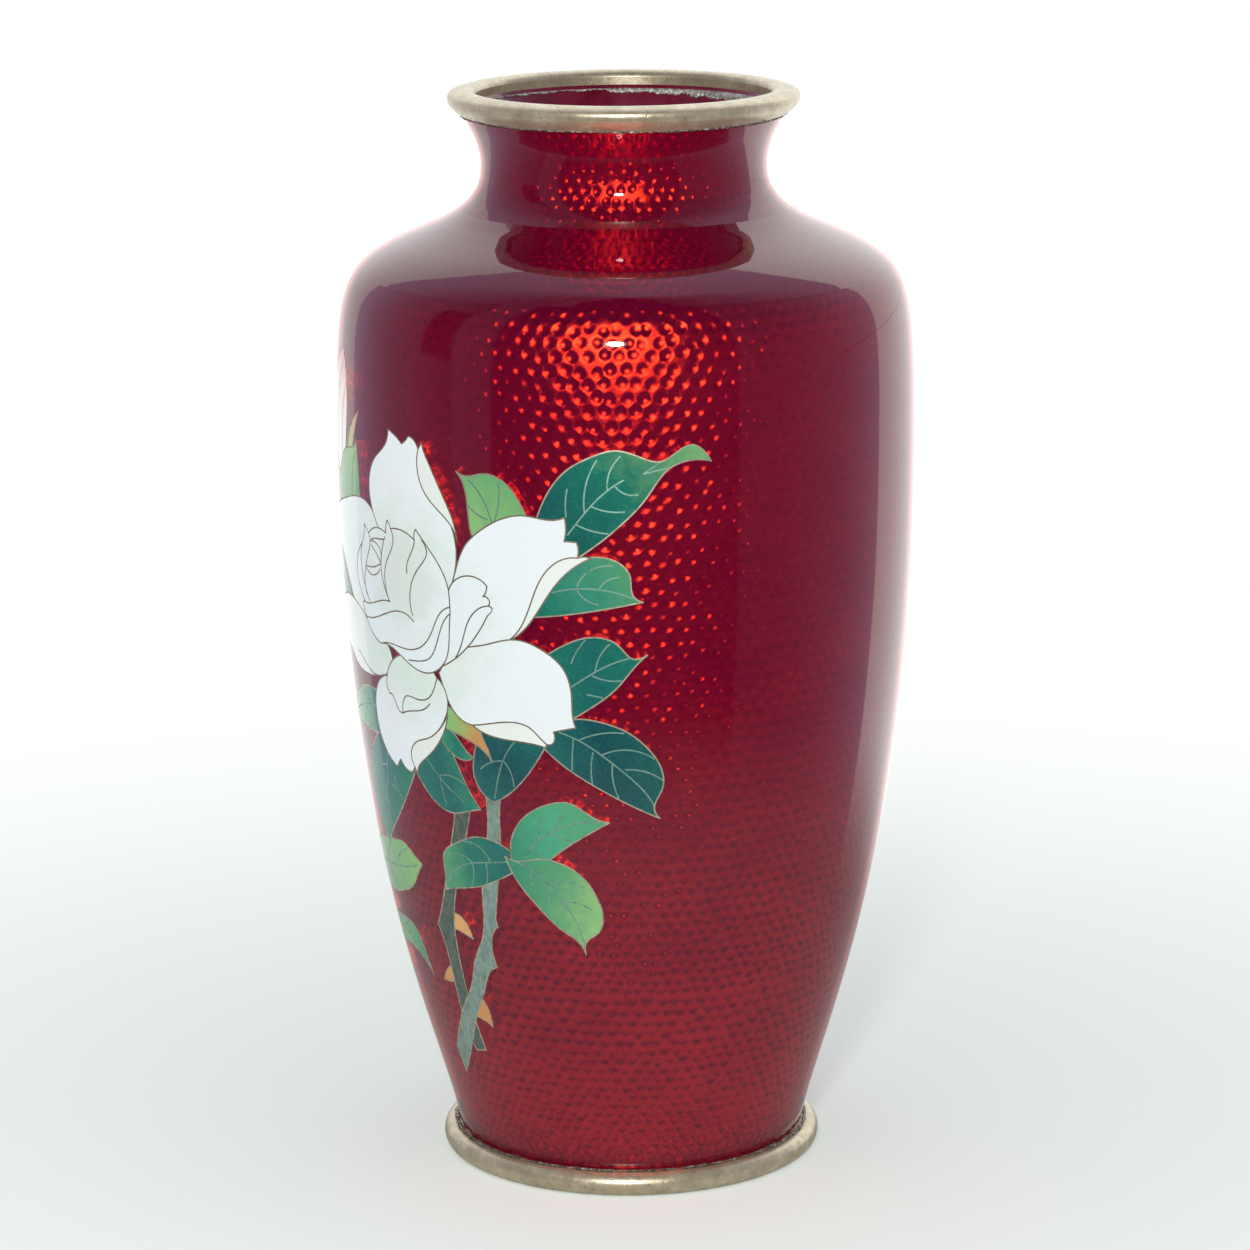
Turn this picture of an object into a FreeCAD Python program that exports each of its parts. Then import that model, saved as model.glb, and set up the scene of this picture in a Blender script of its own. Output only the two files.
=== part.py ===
"""Foil-ground cloisonne vase: a spun copper body under silver foil, wire cells and enamel, in millimetres.

The vase stands on z = 0 with its axis on +Z, and the middle of the decoration faces -Y.
The decoration is drawn flat, as (a, z): a is the distance round the vase at the drawing radius,
counted from -Y towards +X, and z is the height. Each flat face is then wrapped on to the glaze.
"""
import FreeCAD, Part
import functools
import math
import os

from FreeCAD import Vector
from FreeCAD import Base

# Driving dimensions, mm
HEIGHT = 185.0
DRAWING_RADIUS = 49.0
GLAZE_FOOT_Z = 4.0
GLAZE_TOP_Z = 180.5
COPPER_FOOT_Z = 0.9
COPPER_LIP_Z = 182.6
ENAMEL = 0.9
FOIL = 0.3
COPPER = 1.2
LINING = 0.5
WIRE_WIDTH = 0.25
WIRE_END_LAP = 0.35
SMALLEST_CELL = 0.12
SMALLEST_WIRE = 0.05
FLOOR_Z = 4.6
FLOOR_THICK = 1.2
PLATE_RISE = 0.8
PLATE_GAP = 0.02
LINING_TOP_Z = 181.8

# Depths below the polished surface, mm
FOIL_DEPTH = ENAMEL
COPPER_DEPTH = FOIL_DEPTH + FOIL
LINING_DEPTH = COPPER_DEPTH + COPPER
CAVITY_DEPTH = LINING_DEPTH + LINING

# Radius of the polished surface at each height: (z, r), far apart on the taper, close at shoulder and neck
SILHOUETTE = [
    (0.5, 29.5), (5, 30.2), (20, 34.4), (45, 41.1), (75, 46.3), (105, 48.8), (130, 49.3), (145, 48.7),
    (152, 47.2), (156, 44.5), (160, 38), (163, 31.2), (167, 25.9), (172, 24.2), (178, 25.7), (183, 28.6),
]

# Heights where the spun skins divide into rings of faces, so that no face runs from foot to lip
FACE_BREAKS = [60, 120, 145, 155, 165]

# Half sections of the rings and of the solder seams, as (r, z)
MOUTH_BEAD = [
    (27.25, 180.7), (28.6, 181.7), (29.6, 183.2), (29.5, 184.1), (28.4, 184.75), (26.6, HEIGHT),
    (25.4, 184.7), (24.9, 183.9),
]
MOUTH_BORE = [(24.9, 183.9), (24.9, 181.6), (27.25, 180.7)]
FOOT_BEAD = [(31.4, 0), (32.5, 0.75), (32.85, 2.1), (32.3, 3.4), (31.2, 3.95)]
FOOT_FLANGE = [
    (31.2, 3.95), (28.0, 3.95), (28.0, COPPER_FOOT_Z), (26.6, COPPER_FOOT_Z), (26.6, 0), (31.4, 0),
]
MOUTH_SEAM = [(26.95, 180.2), (27.5, 180.35), (27.85, 180.9), (27.7, 181.25)]
FOOT_SEAM = [(31.3, 3.85), (31.15, 4.3), (30.75, 4.55), (30.15, 4.65)]
FOOT_SEAM_ROOT = (29.6, 3.85)

# How the shapes are made
SEWING_GAP = 0.002
WINDOW_PROUD = 0.3
PROFILE_STEPS = 90
AXIS = Vector(0, 0, 1)
ORIGIN = Vector(0, 0, 0)
FULL_TURN = 360
PROFILE = Part.BSplineCurve()
PROFILE.interpolate(
    Points=[Vector(0, r, z) for z, r in SILHOUETTE], Parameters=[z for z, r in SILHOUETTE]
)


# ---------------------------------------------------------------- layers of the body

@functools.lru_cache(maxsize=None)
def profile_at(depth):
    """The silhouette moved inwards by depth, along its normals; its parameter is the surface height."""
    if depth == 0:
        return PROFILE
    exact = Part.OffsetCurve(PROFILE, -depth, Vector(1, 0, 0))
    low, high = PROFILE.FirstParameter, PROFILE.LastParameter
    heights = [low + (high - low) * step / PROFILE_STEPS for step in range(PROFILE_STEPS + 1)]
    curve = Part.BSplineCurve()
    curve.interpolate(Points=[exact.value(z) for z in heights], Parameters=heights)
    return curve


def spun(edges):
    """The solid that a closed chain of edges in the YZ plane sweeps in one turn about the axis."""
    solid = Part.Face(Part.Wire(Part.__sortEdges__(edges))).revolve(ORIGIN, AXIS, FULL_TURN)
    return Part.Solid(solid.Shells[0]) if solid.ShapeType != "Solid" else solid


def straight_edges(points):
    """Straight edges from each (r, z) point to the next."""
    corners = [Vector(0, r, z) for r, z in points]
    return [Part.makeLine(p, q) for p, q in zip(corners, corners[1:])]


def smooth_edge(points):
    """A smooth edge through (r, z) points."""
    curve = Part.BSplineCurve()
    curve.interpolate(Points=[Vector(0, r, z) for r, z in points])
    return curve.toShape()


def layer(outer_depth, inner_depth, low, high):
    """A spun skin between two depths and two heights, in rings of faces that meet at FACE_BREAKS."""
    outer = profile_at(outer_depth)
    inner = profile_at(inner_depth)
    stations = [low] + [z for z in FACE_BREAKS if low < z < high] + [high]
    sides = [curve.toShape(z, above) for curve in (outer, inner) for z, above in zip(stations, stations[1:])]
    ends = [Part.makeLine(outer.value(z), inner.value(z)) for z in (low, high)]
    return spun(sides + ends)


def copper_body():
    return layer(COPPER_DEPTH, LINING_DEPTH, COPPER_FOOT_Z, COPPER_LIP_Z)


def silver_foil():
    return layer(FOIL_DEPTH, COPPER_DEPTH, GLAZE_FOOT_Z, GLAZE_TOP_Z)


def dished_disc(radius, edge_z, thick):
    """A disc of even thickness, its middle raised by PLATE_RISE, lying on edge_z at its edge."""
    ball = (radius ** 2 + PLATE_RISE ** 2) / (2 * PLATE_RISE)
    half_drop = ball - math.sqrt(ball ** 2 - radius ** 2 / 4)
    arcs = []
    for z in (edge_z, edge_z + thick):
        crown = Vector(0, 0, z + PLATE_RISE)
        halfway = crown + Vector(0, radius / 2, -half_drop)
        arcs.append(Part.Arc(crown, halfway, Vector(0, radius, z)).toShape())
    middle = Part.makeLine(Vector(0, 0, edge_z + PLATE_RISE), Vector(0, 0, edge_z + thick + PLATE_RISE))
    rim = Part.makeLine(Vector(0, radius, edge_z), Vector(0, radius, edge_z + thick))
    return spun(arcs + [middle, rim])


def plate_radius():
    return profile_at(LINING_DEPTH).value(FLOOR_Z).y - PLATE_GAP


def base_plate():
    """The copper disc soldered across the foot of the body, a little dished."""
    return dished_disc(plate_radius(), FLOOR_Z, FLOOR_THICK)


def base_enamel():
    """Counter-enamel fused under the base plate."""
    return dished_disc(plate_radius(), FLOOR_Z - LINING, LINING)


def lining_enamel():
    """Counter-enamel inside: the wall from the floor to the lip, and the floor itself."""
    floor_z = FLOOR_Z + FLOOR_THICK
    wall = layer(LINING_DEPTH, CAVITY_DEPTH, floor_z - LINING / 2, LINING_TOP_Z)
    return wall.fuse(dished_disc(plate_radius(), floor_z, LINING)).removeSplitter()


def glaze_and_foil():
    """Everything between the polished surface and the copper."""
    return layer(0, COPPER_DEPTH, GLAZE_FOOT_Z, GLAZE_TOP_Z)


def mouth_ring():
    """A plated ring that caps the lip: a rounded bead with the lip let into its underside."""
    ring = spun([smooth_edge(MOUTH_BEAD)] + straight_edges(MOUTH_BORE))
    return ring.cut([copper_body(), lining_enamel(), glaze_and_foil()])


def foot_ring():
    """A plated ring round the foot: a rounded bead outside, and a flat flange that the vase stands on."""
    ring = spun([smooth_edge(FOOT_BEAD)] + straight_edges(FOOT_FLANGE))
    return ring.cut([copper_body(), silver_foil()])


def mouth_solder():
    """The seam of solder where the mouth ring meets the enamel."""
    seam = spun([smooth_edge(MOUTH_SEAM)] + straight_edges([MOUTH_SEAM[-1], MOUTH_SEAM[0]]))
    return seam.cut([mouth_ring(), glaze_and_foil(), copper_body()])


def foot_solder():
    """The seam of solder where the foot ring meets the enamel."""
    seam = spun([smooth_edge(FOOT_SEAM)] + straight_edges([FOOT_SEAM[-1], FOOT_SEAM_ROOT, FOOT_SEAM[0]]))
    return seam.cut([foot_ring(), glaze_and_foil(), copper_body()])


# ---------------------------------------------------------------- flat drawing

class Motif:
    """One enamelled shape of the decoration: its node, its closed outline as strokes, its inner wires."""

    def __init__(self, node, wires, outline, veins=(), vein_wires=None):
        self.node = node
        self.wires = wires
        self.outline = outline
        self.veins = list(veins)
        self.vein_wires = vein_wires or wires


def stroke(points):
    """A smooth flat curve through (a, z) points."""
    curve = Part.BSplineCurve()
    curve.interpolate(Points=[Vector(a, z, 0) for a, z in points])
    return curve


def ribbon(points):
    """The flat face that a wire covers along a stroke, with the wire's true width on the vase."""
    curve = stroke(points)
    sides = ([], [])
    for index, (a, z) in enumerate(points):
        along = curve.tangent(curve.parameter(Vector(a, z, 0)))[0]
        squeeze = PROFILE.value(z).y / DRAWING_RADIUS
        across = Vector(-along.y / squeeze, along.x * squeeze, 0)
        true_length = math.hypot(across.x * squeeze, across.y)
        across = across * (WIRE_WIDTH / 2 / true_length)
        lap = (index == len(points) - 1) - (index == 0)
        centre = Vector(a, z, 0) + along * (lap * WIRE_END_LAP * WIRE_WIDTH)
        sides[0].append(centre + across)
        sides[1].append(centre - across)
    edges = [Part.makeLine(sides[0][end], sides[1][end]) for end in (0, -1)]
    for side in sides:
        curve = Part.BSplineCurve()
        curve.interpolate(Points=side)
        edges.append(curve.toShape())
    return facing_up(Part.Face(Part.Wire(Part.__sortEdges__(edges))))


def facing_up(face):
    """The same face, with its normal along +Z."""
    upright = Part.Face(Part.Plane(ORIGIN, AXIS), face.OuterWire)
    upright.validate()
    return upright


def joined(faces):
    """Flat faces melted into as few faces as they need."""
    merged = faces[0].fuse(faces[1:]) if len(faces) > 1 else faces[0]
    return Part.Compound(Part.Shell(merged.Faces).removeSplitter().Faces)


def near(shape, others):
    """The shapes whose boxes meet this one's."""
    return [other for other in others if other.BoundBox.intersect(shape.BoundBox)]


def cut_by(shape, tools):
    tools = near(shape, tools)
    return shape.cut(tools) if tools else shape


def faces_over(shape, smallest):
    return [face for face in shape.Faces if face.Area > smallest]


def lay_out(motifs):
    """Cuts the motifs, given front to back, into what is seen of each.

    Gives {node: flat faces} and every shape that the decoration covers.
    """
    seen = {}
    covered = []
    for motif in motifs:
        region = facing_up(Part.Face(Part.Wire([stroke(points).toShape() for points in motif.outline])))
        rim = joined([ribbon(points) for points in motif.outline])
        veins = [ribbon(points) for points in motif.veins]
        inner = joined(veins).cut([rim]) if veins else None
        if inner is not None:
            inner = inner.common(region)
            inner = cut_by(inner, covered)
            seen.setdefault(motif.vein_wires, []).extend(faces_over(inner, SMALLEST_WIRE))
        cells = region.cut([rim] + veins)
        cells = cut_by(cells, covered)
        seen.setdefault(motif.node, []).extend(faces_over(cells, SMALLEST_CELL))
        seen.setdefault(motif.wires, []).extend(faces_over(cut_by(rim, covered), SMALLEST_WIRE))
        covered.append(region)
        covered.append(rim)
    return seen, covered


# ---------------------------------------------------------------- wrapping on to the vase

def wrapped_edge(edge, surface):
    """A flat edge, laid on a surface of revolution whose second parameter is the height."""
    curve = edge.Curve.toBSpline(edge.FirstParameter, edge.LastParameter)
    poles = [Base.Vector2d(math.pi + pole.x / DRAWING_RADIUS, pole.y) for pole in curve.getPoles()]
    flat = Part.Geom2d.BSplineCurve2d()
    flat.buildFromPolesMultsKnots(
        poles, curve.getMultiplicities(), curve.getKnots(), False, curve.Degree, curve.getWeights()
    )
    return flat.toShape(surface)


def wrapped_wires(face, surface):
    """The face's outer wire first, then its holes, each laid on the surface."""
    outer = face.OuterWire
    wires = [outer] + [wire for wire in face.Wires if not wire.isSame(outer)]
    return [[wrapped_edge(edge, surface) for edge in wire.OrderedEdges] for wire in wires]


def trimmed(surface, loops):
    """The part of a surface inside the first loop and outside the others."""
    face = Part.Face(surface, Part.Wire(loops[0]))
    face.validate()
    for loop in loops[1:]:
        hole = Part.Face(surface, Part.Wire(loop))
        hole.validate()
        face = face.cut(hole).Faces[0]
    return face


def wrapped(face, outer_depth, inner_depth):
    """A flat face as a solid between two depths, its walls along the normals of the vase."""
    outer_surface = Part.SurfaceOfRevolution(profile_at(outer_depth), ORIGIN, AXIS)
    inner_surface = Part.SurfaceOfRevolution(profile_at(inner_depth), ORIGIN, AXIS)
    outer_loops = wrapped_wires(face, outer_surface)
    inner_loops = wrapped_wires(face, inner_surface)
    skin = [trimmed(outer_surface, outer_loops), trimmed(inner_surface, inner_loops)]
    for outer_loop, inner_loop in zip(outer_loops, inner_loops):
        skin += [Part.makeRuledSurface(p, q) for p, q in zip(outer_loop, inner_loop)]
    shell = Part.Compound([piece for part in skin for piece in part.Faces]).copy()
    shell.sewShape(SEWING_GAP)
    solid = Part.Solid(shell.Shells[0])
    if solid.Volume < 0:
        solid.reverse()
    return solid


# ---------------------------------------------------------------- the flower, front to back

def heart_petals():
    """The closed heart of the flower: small petals folded round a bud, in a two-lobed cup."""
    outline = [
        [(-12.3, 101.6), (-14, 103.5), (-15.1, 107), (-14, 110), (-12, 112), (-11, 114), (-10.9, 115.3)],
        [(-10.9, 115.3), (-10, 114.5), (-9.3, 113.9)],
        [(-9.3, 113.9), (-7.5, 115.1), (-5.5, 115.4), (-3.6, 114.9)],
        [(-3.6, 114.9), (-3.4, 116.2), (-3, 117.2)],
        [(-3, 117.2), (-2.4, 116.6), (-2.1, 115.9)],
        [(-2.1, 115.9), (1.5, 116), (4.1, 114.9)],
        [(4.1, 114.9), (4.1, 116.1), (4.5, 116.8)],
        [(4.5, 116.8), (7, 114.3), (9.5, 111.5), (11.4, 107.4)],
        [(11.4, 107.4), (11.5, 105.5), (11.5, 103.5)],
        [(11.5, 103.5), (11.1, 100), (10, 95.4), (6, 92.6), (1.5, 93.2), (-3, 95.2), (-7.2, 95.4)],
        [(-7.2, 95.4), (-9, 96), (-12, 98.8)],
        [(-12, 98.8), (-13, 100.3), (-13.3, 101.2), (-12.3, 101.6)],
    ]
    folds = [
        [(-12, 112), (-13, 108.7), (-12.5, 106), (-10.3, 102)],
        [(-9.3, 113.9), (-9, 112.3), (-9.8, 110.5), (-11.6, 106.5), (-11.8, 105), (-11.3, 103)],
        [(-9, 112.5), (-8, 113.2), (-6.5, 113.5), (-4.2, 113.8)],
        [(-8.5, 112.8), (-7, 112.7), (-6, 112.2), (-5.3, 111)],
        [(-8.5, 112), (-6.8, 110.8), (-5.5, 109.5)],
        [(-10.8, 108.1), (-8, 108.4), (-5.5, 109.4)],
        [(-10.8, 107.8), (-9, 106.9), (-7, 107.4), (-5.9, 108.3)],
        [(-3.9, 114.2), (-5.2, 111), (-5.5, 108.5), (-4.2, 104.5), (-3.5, 103.4)],
        [(-2.1, 115.9), (-1.5, 114), (-2.5, 111.8), (-4, 109.5), (-4.5, 106.8), (-3.5, 103.4)],
        [(4.1, 114.9), (3.4, 113), (2, 110.5), (1.9, 109)],
        [(5.8, 115.2), (6.8, 112.8), (5.3, 110.8), (3.3, 108.2), (2.4, 105.5), (2.8, 102)],
        [(-12.3, 101.6), (-10, 101.8), (-6, 103), (-3.3, 103.3)],
        [(-12, 99.1), (-8, 99.8), (-4, 101.3), (0, 102.1), (3, 100.9)],
        [(-7, 95.4), (-4, 96), (1.5, 95.9), (4.5, 96.9), (7, 99.5), (9.5, 103.5), (11.4, 104.6)],
        [(1, 94), (3, 94.2), (6.3, 95.2), (8.2, 98), (9.9, 101.8), (11.3, 103.4)],
    ]
    return Motif("heart_petals", "heart_wires", outline, folds)


def inner_petal_right():
    outline = [
        [(11.4, 107.4), (13, 109.5), (16, 110.4), (19, 109)],
        [(19, 109), (18.7, 107.9), (18.2, 107.2)],
        [(18.2, 107.2), (19.1, 107), (19.4, 106.4), (19.1, 105.7)],
        [(19.1, 105.7), (19.7, 105.5), (18.9, 104)],
        [(18.9, 104), (16.8, 100.7), (13.4, 97), (9.2, 94.3)],
        [(9.2, 94.3), (8, 100), (11.4, 107.4)],
    ]
    fold = [(19.1, 105.7), (17.5, 105.2), (15.2, 102.8), (13.7, 99), (12.2, 96.2)]
    return Motif("inner_petal_right", "heart_wires", outline, [fold])


def petal_bottom_curl():
    outline = [
        [(-1.5, 94.4), (-4.2, 92.8), (-6, 90.3), (-6.4, 88), (-5.8, 87)],
        [(-5.8, 87), (-4.7, 86.8), (-4, 85.6), (-3.4, 84.7), (-2, 84.3)],
        [(-2, 84.3), (-1.8, 86), (-0.8, 87.4), (2, 87.5), (5.5, 88.3), (7, 90.3), (7.7, 92)],
        [(7.7, 92), (4, 95), (-1.5, 94.4)],
    ]
    return Motif("petal_bottom_curl", "petal_wires", outline)


def petal_bottom_edge():
    outline = [
        [(-0.3, 75.2), (-0.8, 77.8), (1, 79.8), (4, 80.9), (7.5, 83.2), (9.6, 86.2)],
        [(9.6, 86.2), (8.5, 83), (6.3, 80), (3, 77.2), (1.3, 75.9), (0.3, 74.2)],
        [(0.3, 74.2), (-0.3, 75.2)],
    ]
    return Motif("petal_bottom_edge", "petal_wires", outline)


def petal_bottom():
    outline = [
        [(-6, 90), (-9.3, 88.5), (-11.2, 85.8), (-11.5, 80), (-9.5, 76.3), (-6, 74.1)],
        [(-6, 74.1), (-5.2, 75.1), (-4.5, 75.7)],
        [(-4.5, 75.7), (-3, 74.3), (-1.5, 74)],
        [(-1.5, 74), (-0.8, 74.5), (-0.3, 75.2)],
        [(-0.3, 75.2), (4, 80), (8.7, 84.9), (9.8, 88), (9.2, 90.5), (7.8, 92)],
        [(7.8, 92), (3, 92), (-3, 91), (-6, 90)],
    ]
    crease = [(-2, 84.3), (0, 85), (2.5, 85.5), (5.5, 87.2)]
    return Motif("petal_bottom", "petal_wires", outline, [crease])


def petal_right_lower_edge():
    outline = [
        [(14.8, 84.9), (18, 85.5), (22, 86.2), (25.5, 85.7), (27.9, 83.6), (28.7, 82.9)],
        [(28.7, 82.9), (28.5, 82.3)],
        [(28.5, 82.3), (26, 82.8), (20, 83.2), (17, 83.8), (14.8, 84.9)],
    ]
    return Motif("petal_right_lower_edge", "petal_wires", outline)


def petal_right_lower():
    outline = [
        [(9.2, 94.3), (14.6, 98.2), (18, 99), (22, 100.2), (24.5, 100.4), (28.5, 99), (32, 96),
         (33.3, 91.5), (33.4, 88), (33.9, 86)],
        [(33.9, 86), (32, 85.6), (30, 85.1)],
        [(30, 85.1), (30.2, 84.2), (29.9, 83.2), (28.7, 82.9)],
        [(28.7, 82.9), (22, 84.5), (14.8, 84.9)],
        [(14.8, 84.9), (11, 86.8), (9.5, 89.5), (8.3, 93)],
        [(8.3, 93), (9.2, 94.3)],
    ]
    return Motif("petal_right_lower", "petal_wires", outline)


def petal_right_upper_edge():
    outline = [
        [(34.7, 114.7), (31.5, 114), (29, 111.6), (27, 107.4), (25.5, 103.7), (22.2, 99.9)],
        [(22.2, 99.9), (26, 102.8), (28.5, 106.3), (31, 110), (34, 113), (37, 114.7)],
        [(37, 114.7), (35.8, 114.9), (34.7, 114.7)],
    ]
    return Motif("petal_right_upper_edge", "petal_wires", outline)


def petal_right_upper():
    outline = [
        [(11.5, 107), (13, 111), (15, 115.4), (18, 118.2), (22, 120.5), (26, 121.3), (30, 120.8),
         (32.7, 121.3)],
        [(32.7, 121.3), (32.9, 119.4), (32.6, 117.4)],
        [(32.6, 117.4), (34.6, 117.3)],
        [(34.6, 117.3), (34.9, 116), (34.7, 114.7)],
        [(34.7, 114.7), (30.5, 111.5), (27, 104.8), (22, 99.5), (16, 98), (11.5, 107)],
    ]
    return Motif("petal_right_upper", "petal_wires", outline)


def petal_left_lower():
    outline = [
        [(-12, 98.8), (-14, 99.8), (-20, 101.2), (-28, 99.5), (-32, 96.6), (-32.4, 93.6), (-29, 91.8),
         (-24, 91.3), (-20, 89.6), (-15.5, 88.8), (-8, 89.7), (-6, 90.3)],
        [(-6, 90.3), (-4, 94), (-7, 97), (-12, 98.8)],
    ]
    crease = [(-18, 92), (-16, 91.3), (-13, 89.9), (-10, 89.4)]
    return Motif("petal_left_lower", "petal_wires", outline, [crease])


def petal_top_edge():
    outline = [
        [(5.5, 130.3), (5.2, 127.5), (6, 124.5), (8, 122), (12.5, 118.2), (13.5, 115.8)],
        [(13.5, 115.8), (13, 118.5), (10, 124.5), (8, 128), (6.7, 130.3), (6.3, 131.5)],
        [(6.3, 131.5), (5.5, 130.3)],
    ]
    return Motif("petal_top_edge", "petal_wires", outline)


def petal_top():
    outline = [
        [(-3.6, 113.5), (-7.5, 118), (-8.5, 121.5), (-6.8, 126.7), (-3, 130), (-2.1, 132.6)],
        [(-2.1, 132.6), (0, 131.7), (1.5, 130.7)],
        [(1.5, 130.7), (2.4, 131.3), (3.2, 132.2)],
        [(3.2, 132.2), (4.2, 131.9), (5.5, 130.3)],
        [(5.5, 130.3), (8.5, 124.5), (12, 119.2), (13.2, 115.2), (13.1, 112), (11.4, 107.2)],
        [(11.4, 107.2), (4, 108), (-3.6, 113.5)],
    ]
    return Motif("petal_top", "petal_wires", outline)


def petal_left_upper():
    outline = [
        [(-4, 113.5), (-7, 117.4), (-9, 118.9), (-13, 119.5), (-20, 118), (-28, 115.5), (-31, 113),
         (-29.8, 110),
         (-26, 108.5), (-22, 105.5), (-18.5, 101.5), (-13, 97)],
        [(-13, 97), (-6, 104), (-4, 113.5)],
    ]
    return Motif("petal_left_upper", "petal_wires", outline)


def flower_sepal():
    outline = [
        [(8.5, 88.5), (12.5, 86.5), (15.5, 85.2), (16.8, 82.8), (17.5, 81.2), (18.2, 79)],
        [(18.2, 79), (16.2, 81), (13, 82.4), (10, 83.3), (7.5, 84)],
        [(7.5, 84), (8.5, 88.5)],
    ]
    return Motif("flower_sepal", "stem_wires", outline)


# ---------------------------------------------------------------- the bud beside the flower

def bud_calyx():
    outline = [
        [(-12.3, 117.5), (-12.5, 122), (-13.3, 129)],
        [(-13.3, 129), (-15, 127.6), (-18, 127), (-22, 124.5), (-24, 121), (-24, 116)],
        [(-24, 116), (-18, 116), (-12.3, 117.5)],
    ]
    return Motif("bud_calyx", "bud_wires", outline, [[(-16, 119), (-15.6, 123), (-14, 127)]])


def bud_sepal():
    outline = [
        [(-18.5, 125.5), (-17.5, 128.2), (-14.8, 132.3), (-12.2, 134)],
        [(-12.2, 134), (-13.5, 131.5), (-15.5, 127)],
        [(-15.5, 127), (-18.5, 125.5)],
    ]
    return Motif("bud_sepal", "bud_wires", outline)


def bud_petals():
    outline = [
        [(-19.5, 125), (-18.5, 130), (-17.9, 135), (-18.6, 139.5), (-21.5, 143.5)],
        [(-21.5, 143.5), (-26, 140), (-29, 134.5), (-28.5, 128), (-24, 122)],
        [(-24, 122), (-19.5, 125)],
    ]
    folds = [
        [(-21.5, 125.5), (-21.3, 130), (-19.9, 135), (-18.2, 138.3)],
        [(-25.5, 124), (-25.3, 130), (-23.6, 136), (-20.3, 141.5)],
    ]
    return Motif("bud_petals", "bud_wires", outline, folds)


# ---------------------------------------------------------------- leaves

def leaf(node, upper, lower, hidden, veins):
    """A leaf whose two edges meet at its tip; the hidden stroke closes it behind what lies in front."""
    return Motif(node, "leaf_outline_wires", [upper, lower, hidden], veins, "leaf_vein_wires")


def leaf_small():
    upper = [(8, 83.5), (11, 82.5), (13, 80.2), (14.5, 79.2)]
    lower = [(14.5, 79.2), (13, 78.5), (10.5, 78.9), (7.5, 81.5)]
    return leaf("leaf_small", upper, lower, [(7.5, 81.5), (8, 83.5)], [])


def leaf_below_flower():
    left = [(-0.5, 75), (1, 73), (4.5, 69.8), (8, 68.6), (12.5, 69.5), (15, 70.1)]
    right = [(15, 70.1), (13.7, 71.8), (12, 74.8), (10.3, 78.5), (7, 83)]
    veins = [[(6, 74.5), (8, 75.2), (10, 75), (11.9, 74.1)], [(6.4, 75), (6.5, 72.5), (7.2, 70)],
             [(3.2, 77.4), (4.6, 76), (7.6, 73.4), (11.5, 71)]]
    return leaf("leaf_below_flower", left, right, [(7, 83), (2, 80), (-0.5, 75)], veins)


def leaf_centre():
    left = [(15.5, 82.5), (14.6, 79.5), (14.4, 75.5), (16, 72.9), (18, 71.8)]
    right = [(18, 71.8), (21, 73.5), (25.5, 78), (28.2, 82)]
    veins = [[(23, 83), (20.5, 79.5), (19, 75.5), (18.2, 72.5)], [(20.3, 79.3), (18.5, 79), (15.8, 77.4)],
             [(20.5, 79.3), (21.5, 78), (22.2, 75)]]
    return leaf("leaf_centre", left, right, [(28.2, 82), (26, 86), (18, 86), (15.5, 82.5)], veins)


def leaf_right_low():
    upper = [(32, 87), (34, 87.5), (38, 87.1), (42, 85.7), (46, 82.6), (48.6, 78.3), (48.6, 75.5),
             (47.3, 72.7),
             (48.2, 70.3)]
    lower = [(48.2, 70.3), (44, 72.2), (37, 75.9), (32, 79), (28.4, 82)]
    veins = [[(31, 85.1), (36, 82.9), (40, 80), (44, 76.6), (46, 74.4), (47.6, 71.6)],
             [(34.5, 84), (37, 84.9), (39.5, 85.3), (42, 85.2)], [(38.3, 81.5), (43, 82.3), (47.2, 80.7)],
             [(42.3, 78.9), (46, 78.4), (48.6, 77)], [(33.4, 84.1), (33.2, 82), (33, 78.6)],
             [(36.7, 81.8), (36.4, 80), (36.5, 76.3)], [(40, 79.8), (40, 77.5), (41, 74)]]
    return leaf("leaf_right_low", upper, lower, [(28.4, 82), (28, 86), (32, 87)], veins)


def leaf_right_middle():
    upper = [(29, 98), (33, 100.4), (37.5, 101.5), (41.3, 100.1), (42.9, 98.3), (46, 98.5)]
    lower = [(46, 98.5), (43.8, 96.4), (41, 93), (37, 89.8), (33, 87.3)]
    veins = [[(33, 92.8), (37.3, 95.6), (41, 97.4), (44.6, 98.2)], [(33.4, 97), (34.5, 99.3), (35.8, 101)],
             [(37.4, 95.8), (37.8, 97.5), (39.8, 100.4)], [(36.9, 95), (38.5, 94.4), (41.6, 94.2)],
             [(36, 91.8), (38.5, 91.3)]]
    return leaf("leaf_right_middle", upper, lower, [(33, 87.3), (29, 90), (29, 98)], veins)


def leaf_right_high():
    upper = [(33, 114), (38, 114.9), (41, 114.2), (43.2, 111.8), (43.5, 109), (45.3, 107.4)]
    lower = [(45.3, 107.4), (40, 106.4), (33, 105.2), (27.5, 104.5)]
    veins = [[(30.5, 108.8), (35, 109.6), (39, 109.4), (43.6, 108.1)], [(34.6, 110), (36.5, 112.5),
                                                                        (40.5, 113.5)],
             [(38.3, 109.8), (39.5, 111), (41.4, 111.6)], [(34.7, 109.2), (36, 107.8), (38, 107)]]
    return leaf("leaf_right_high", upper, lower, [(27.5, 104.5), (27, 109), (33, 114)], veins)


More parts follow.
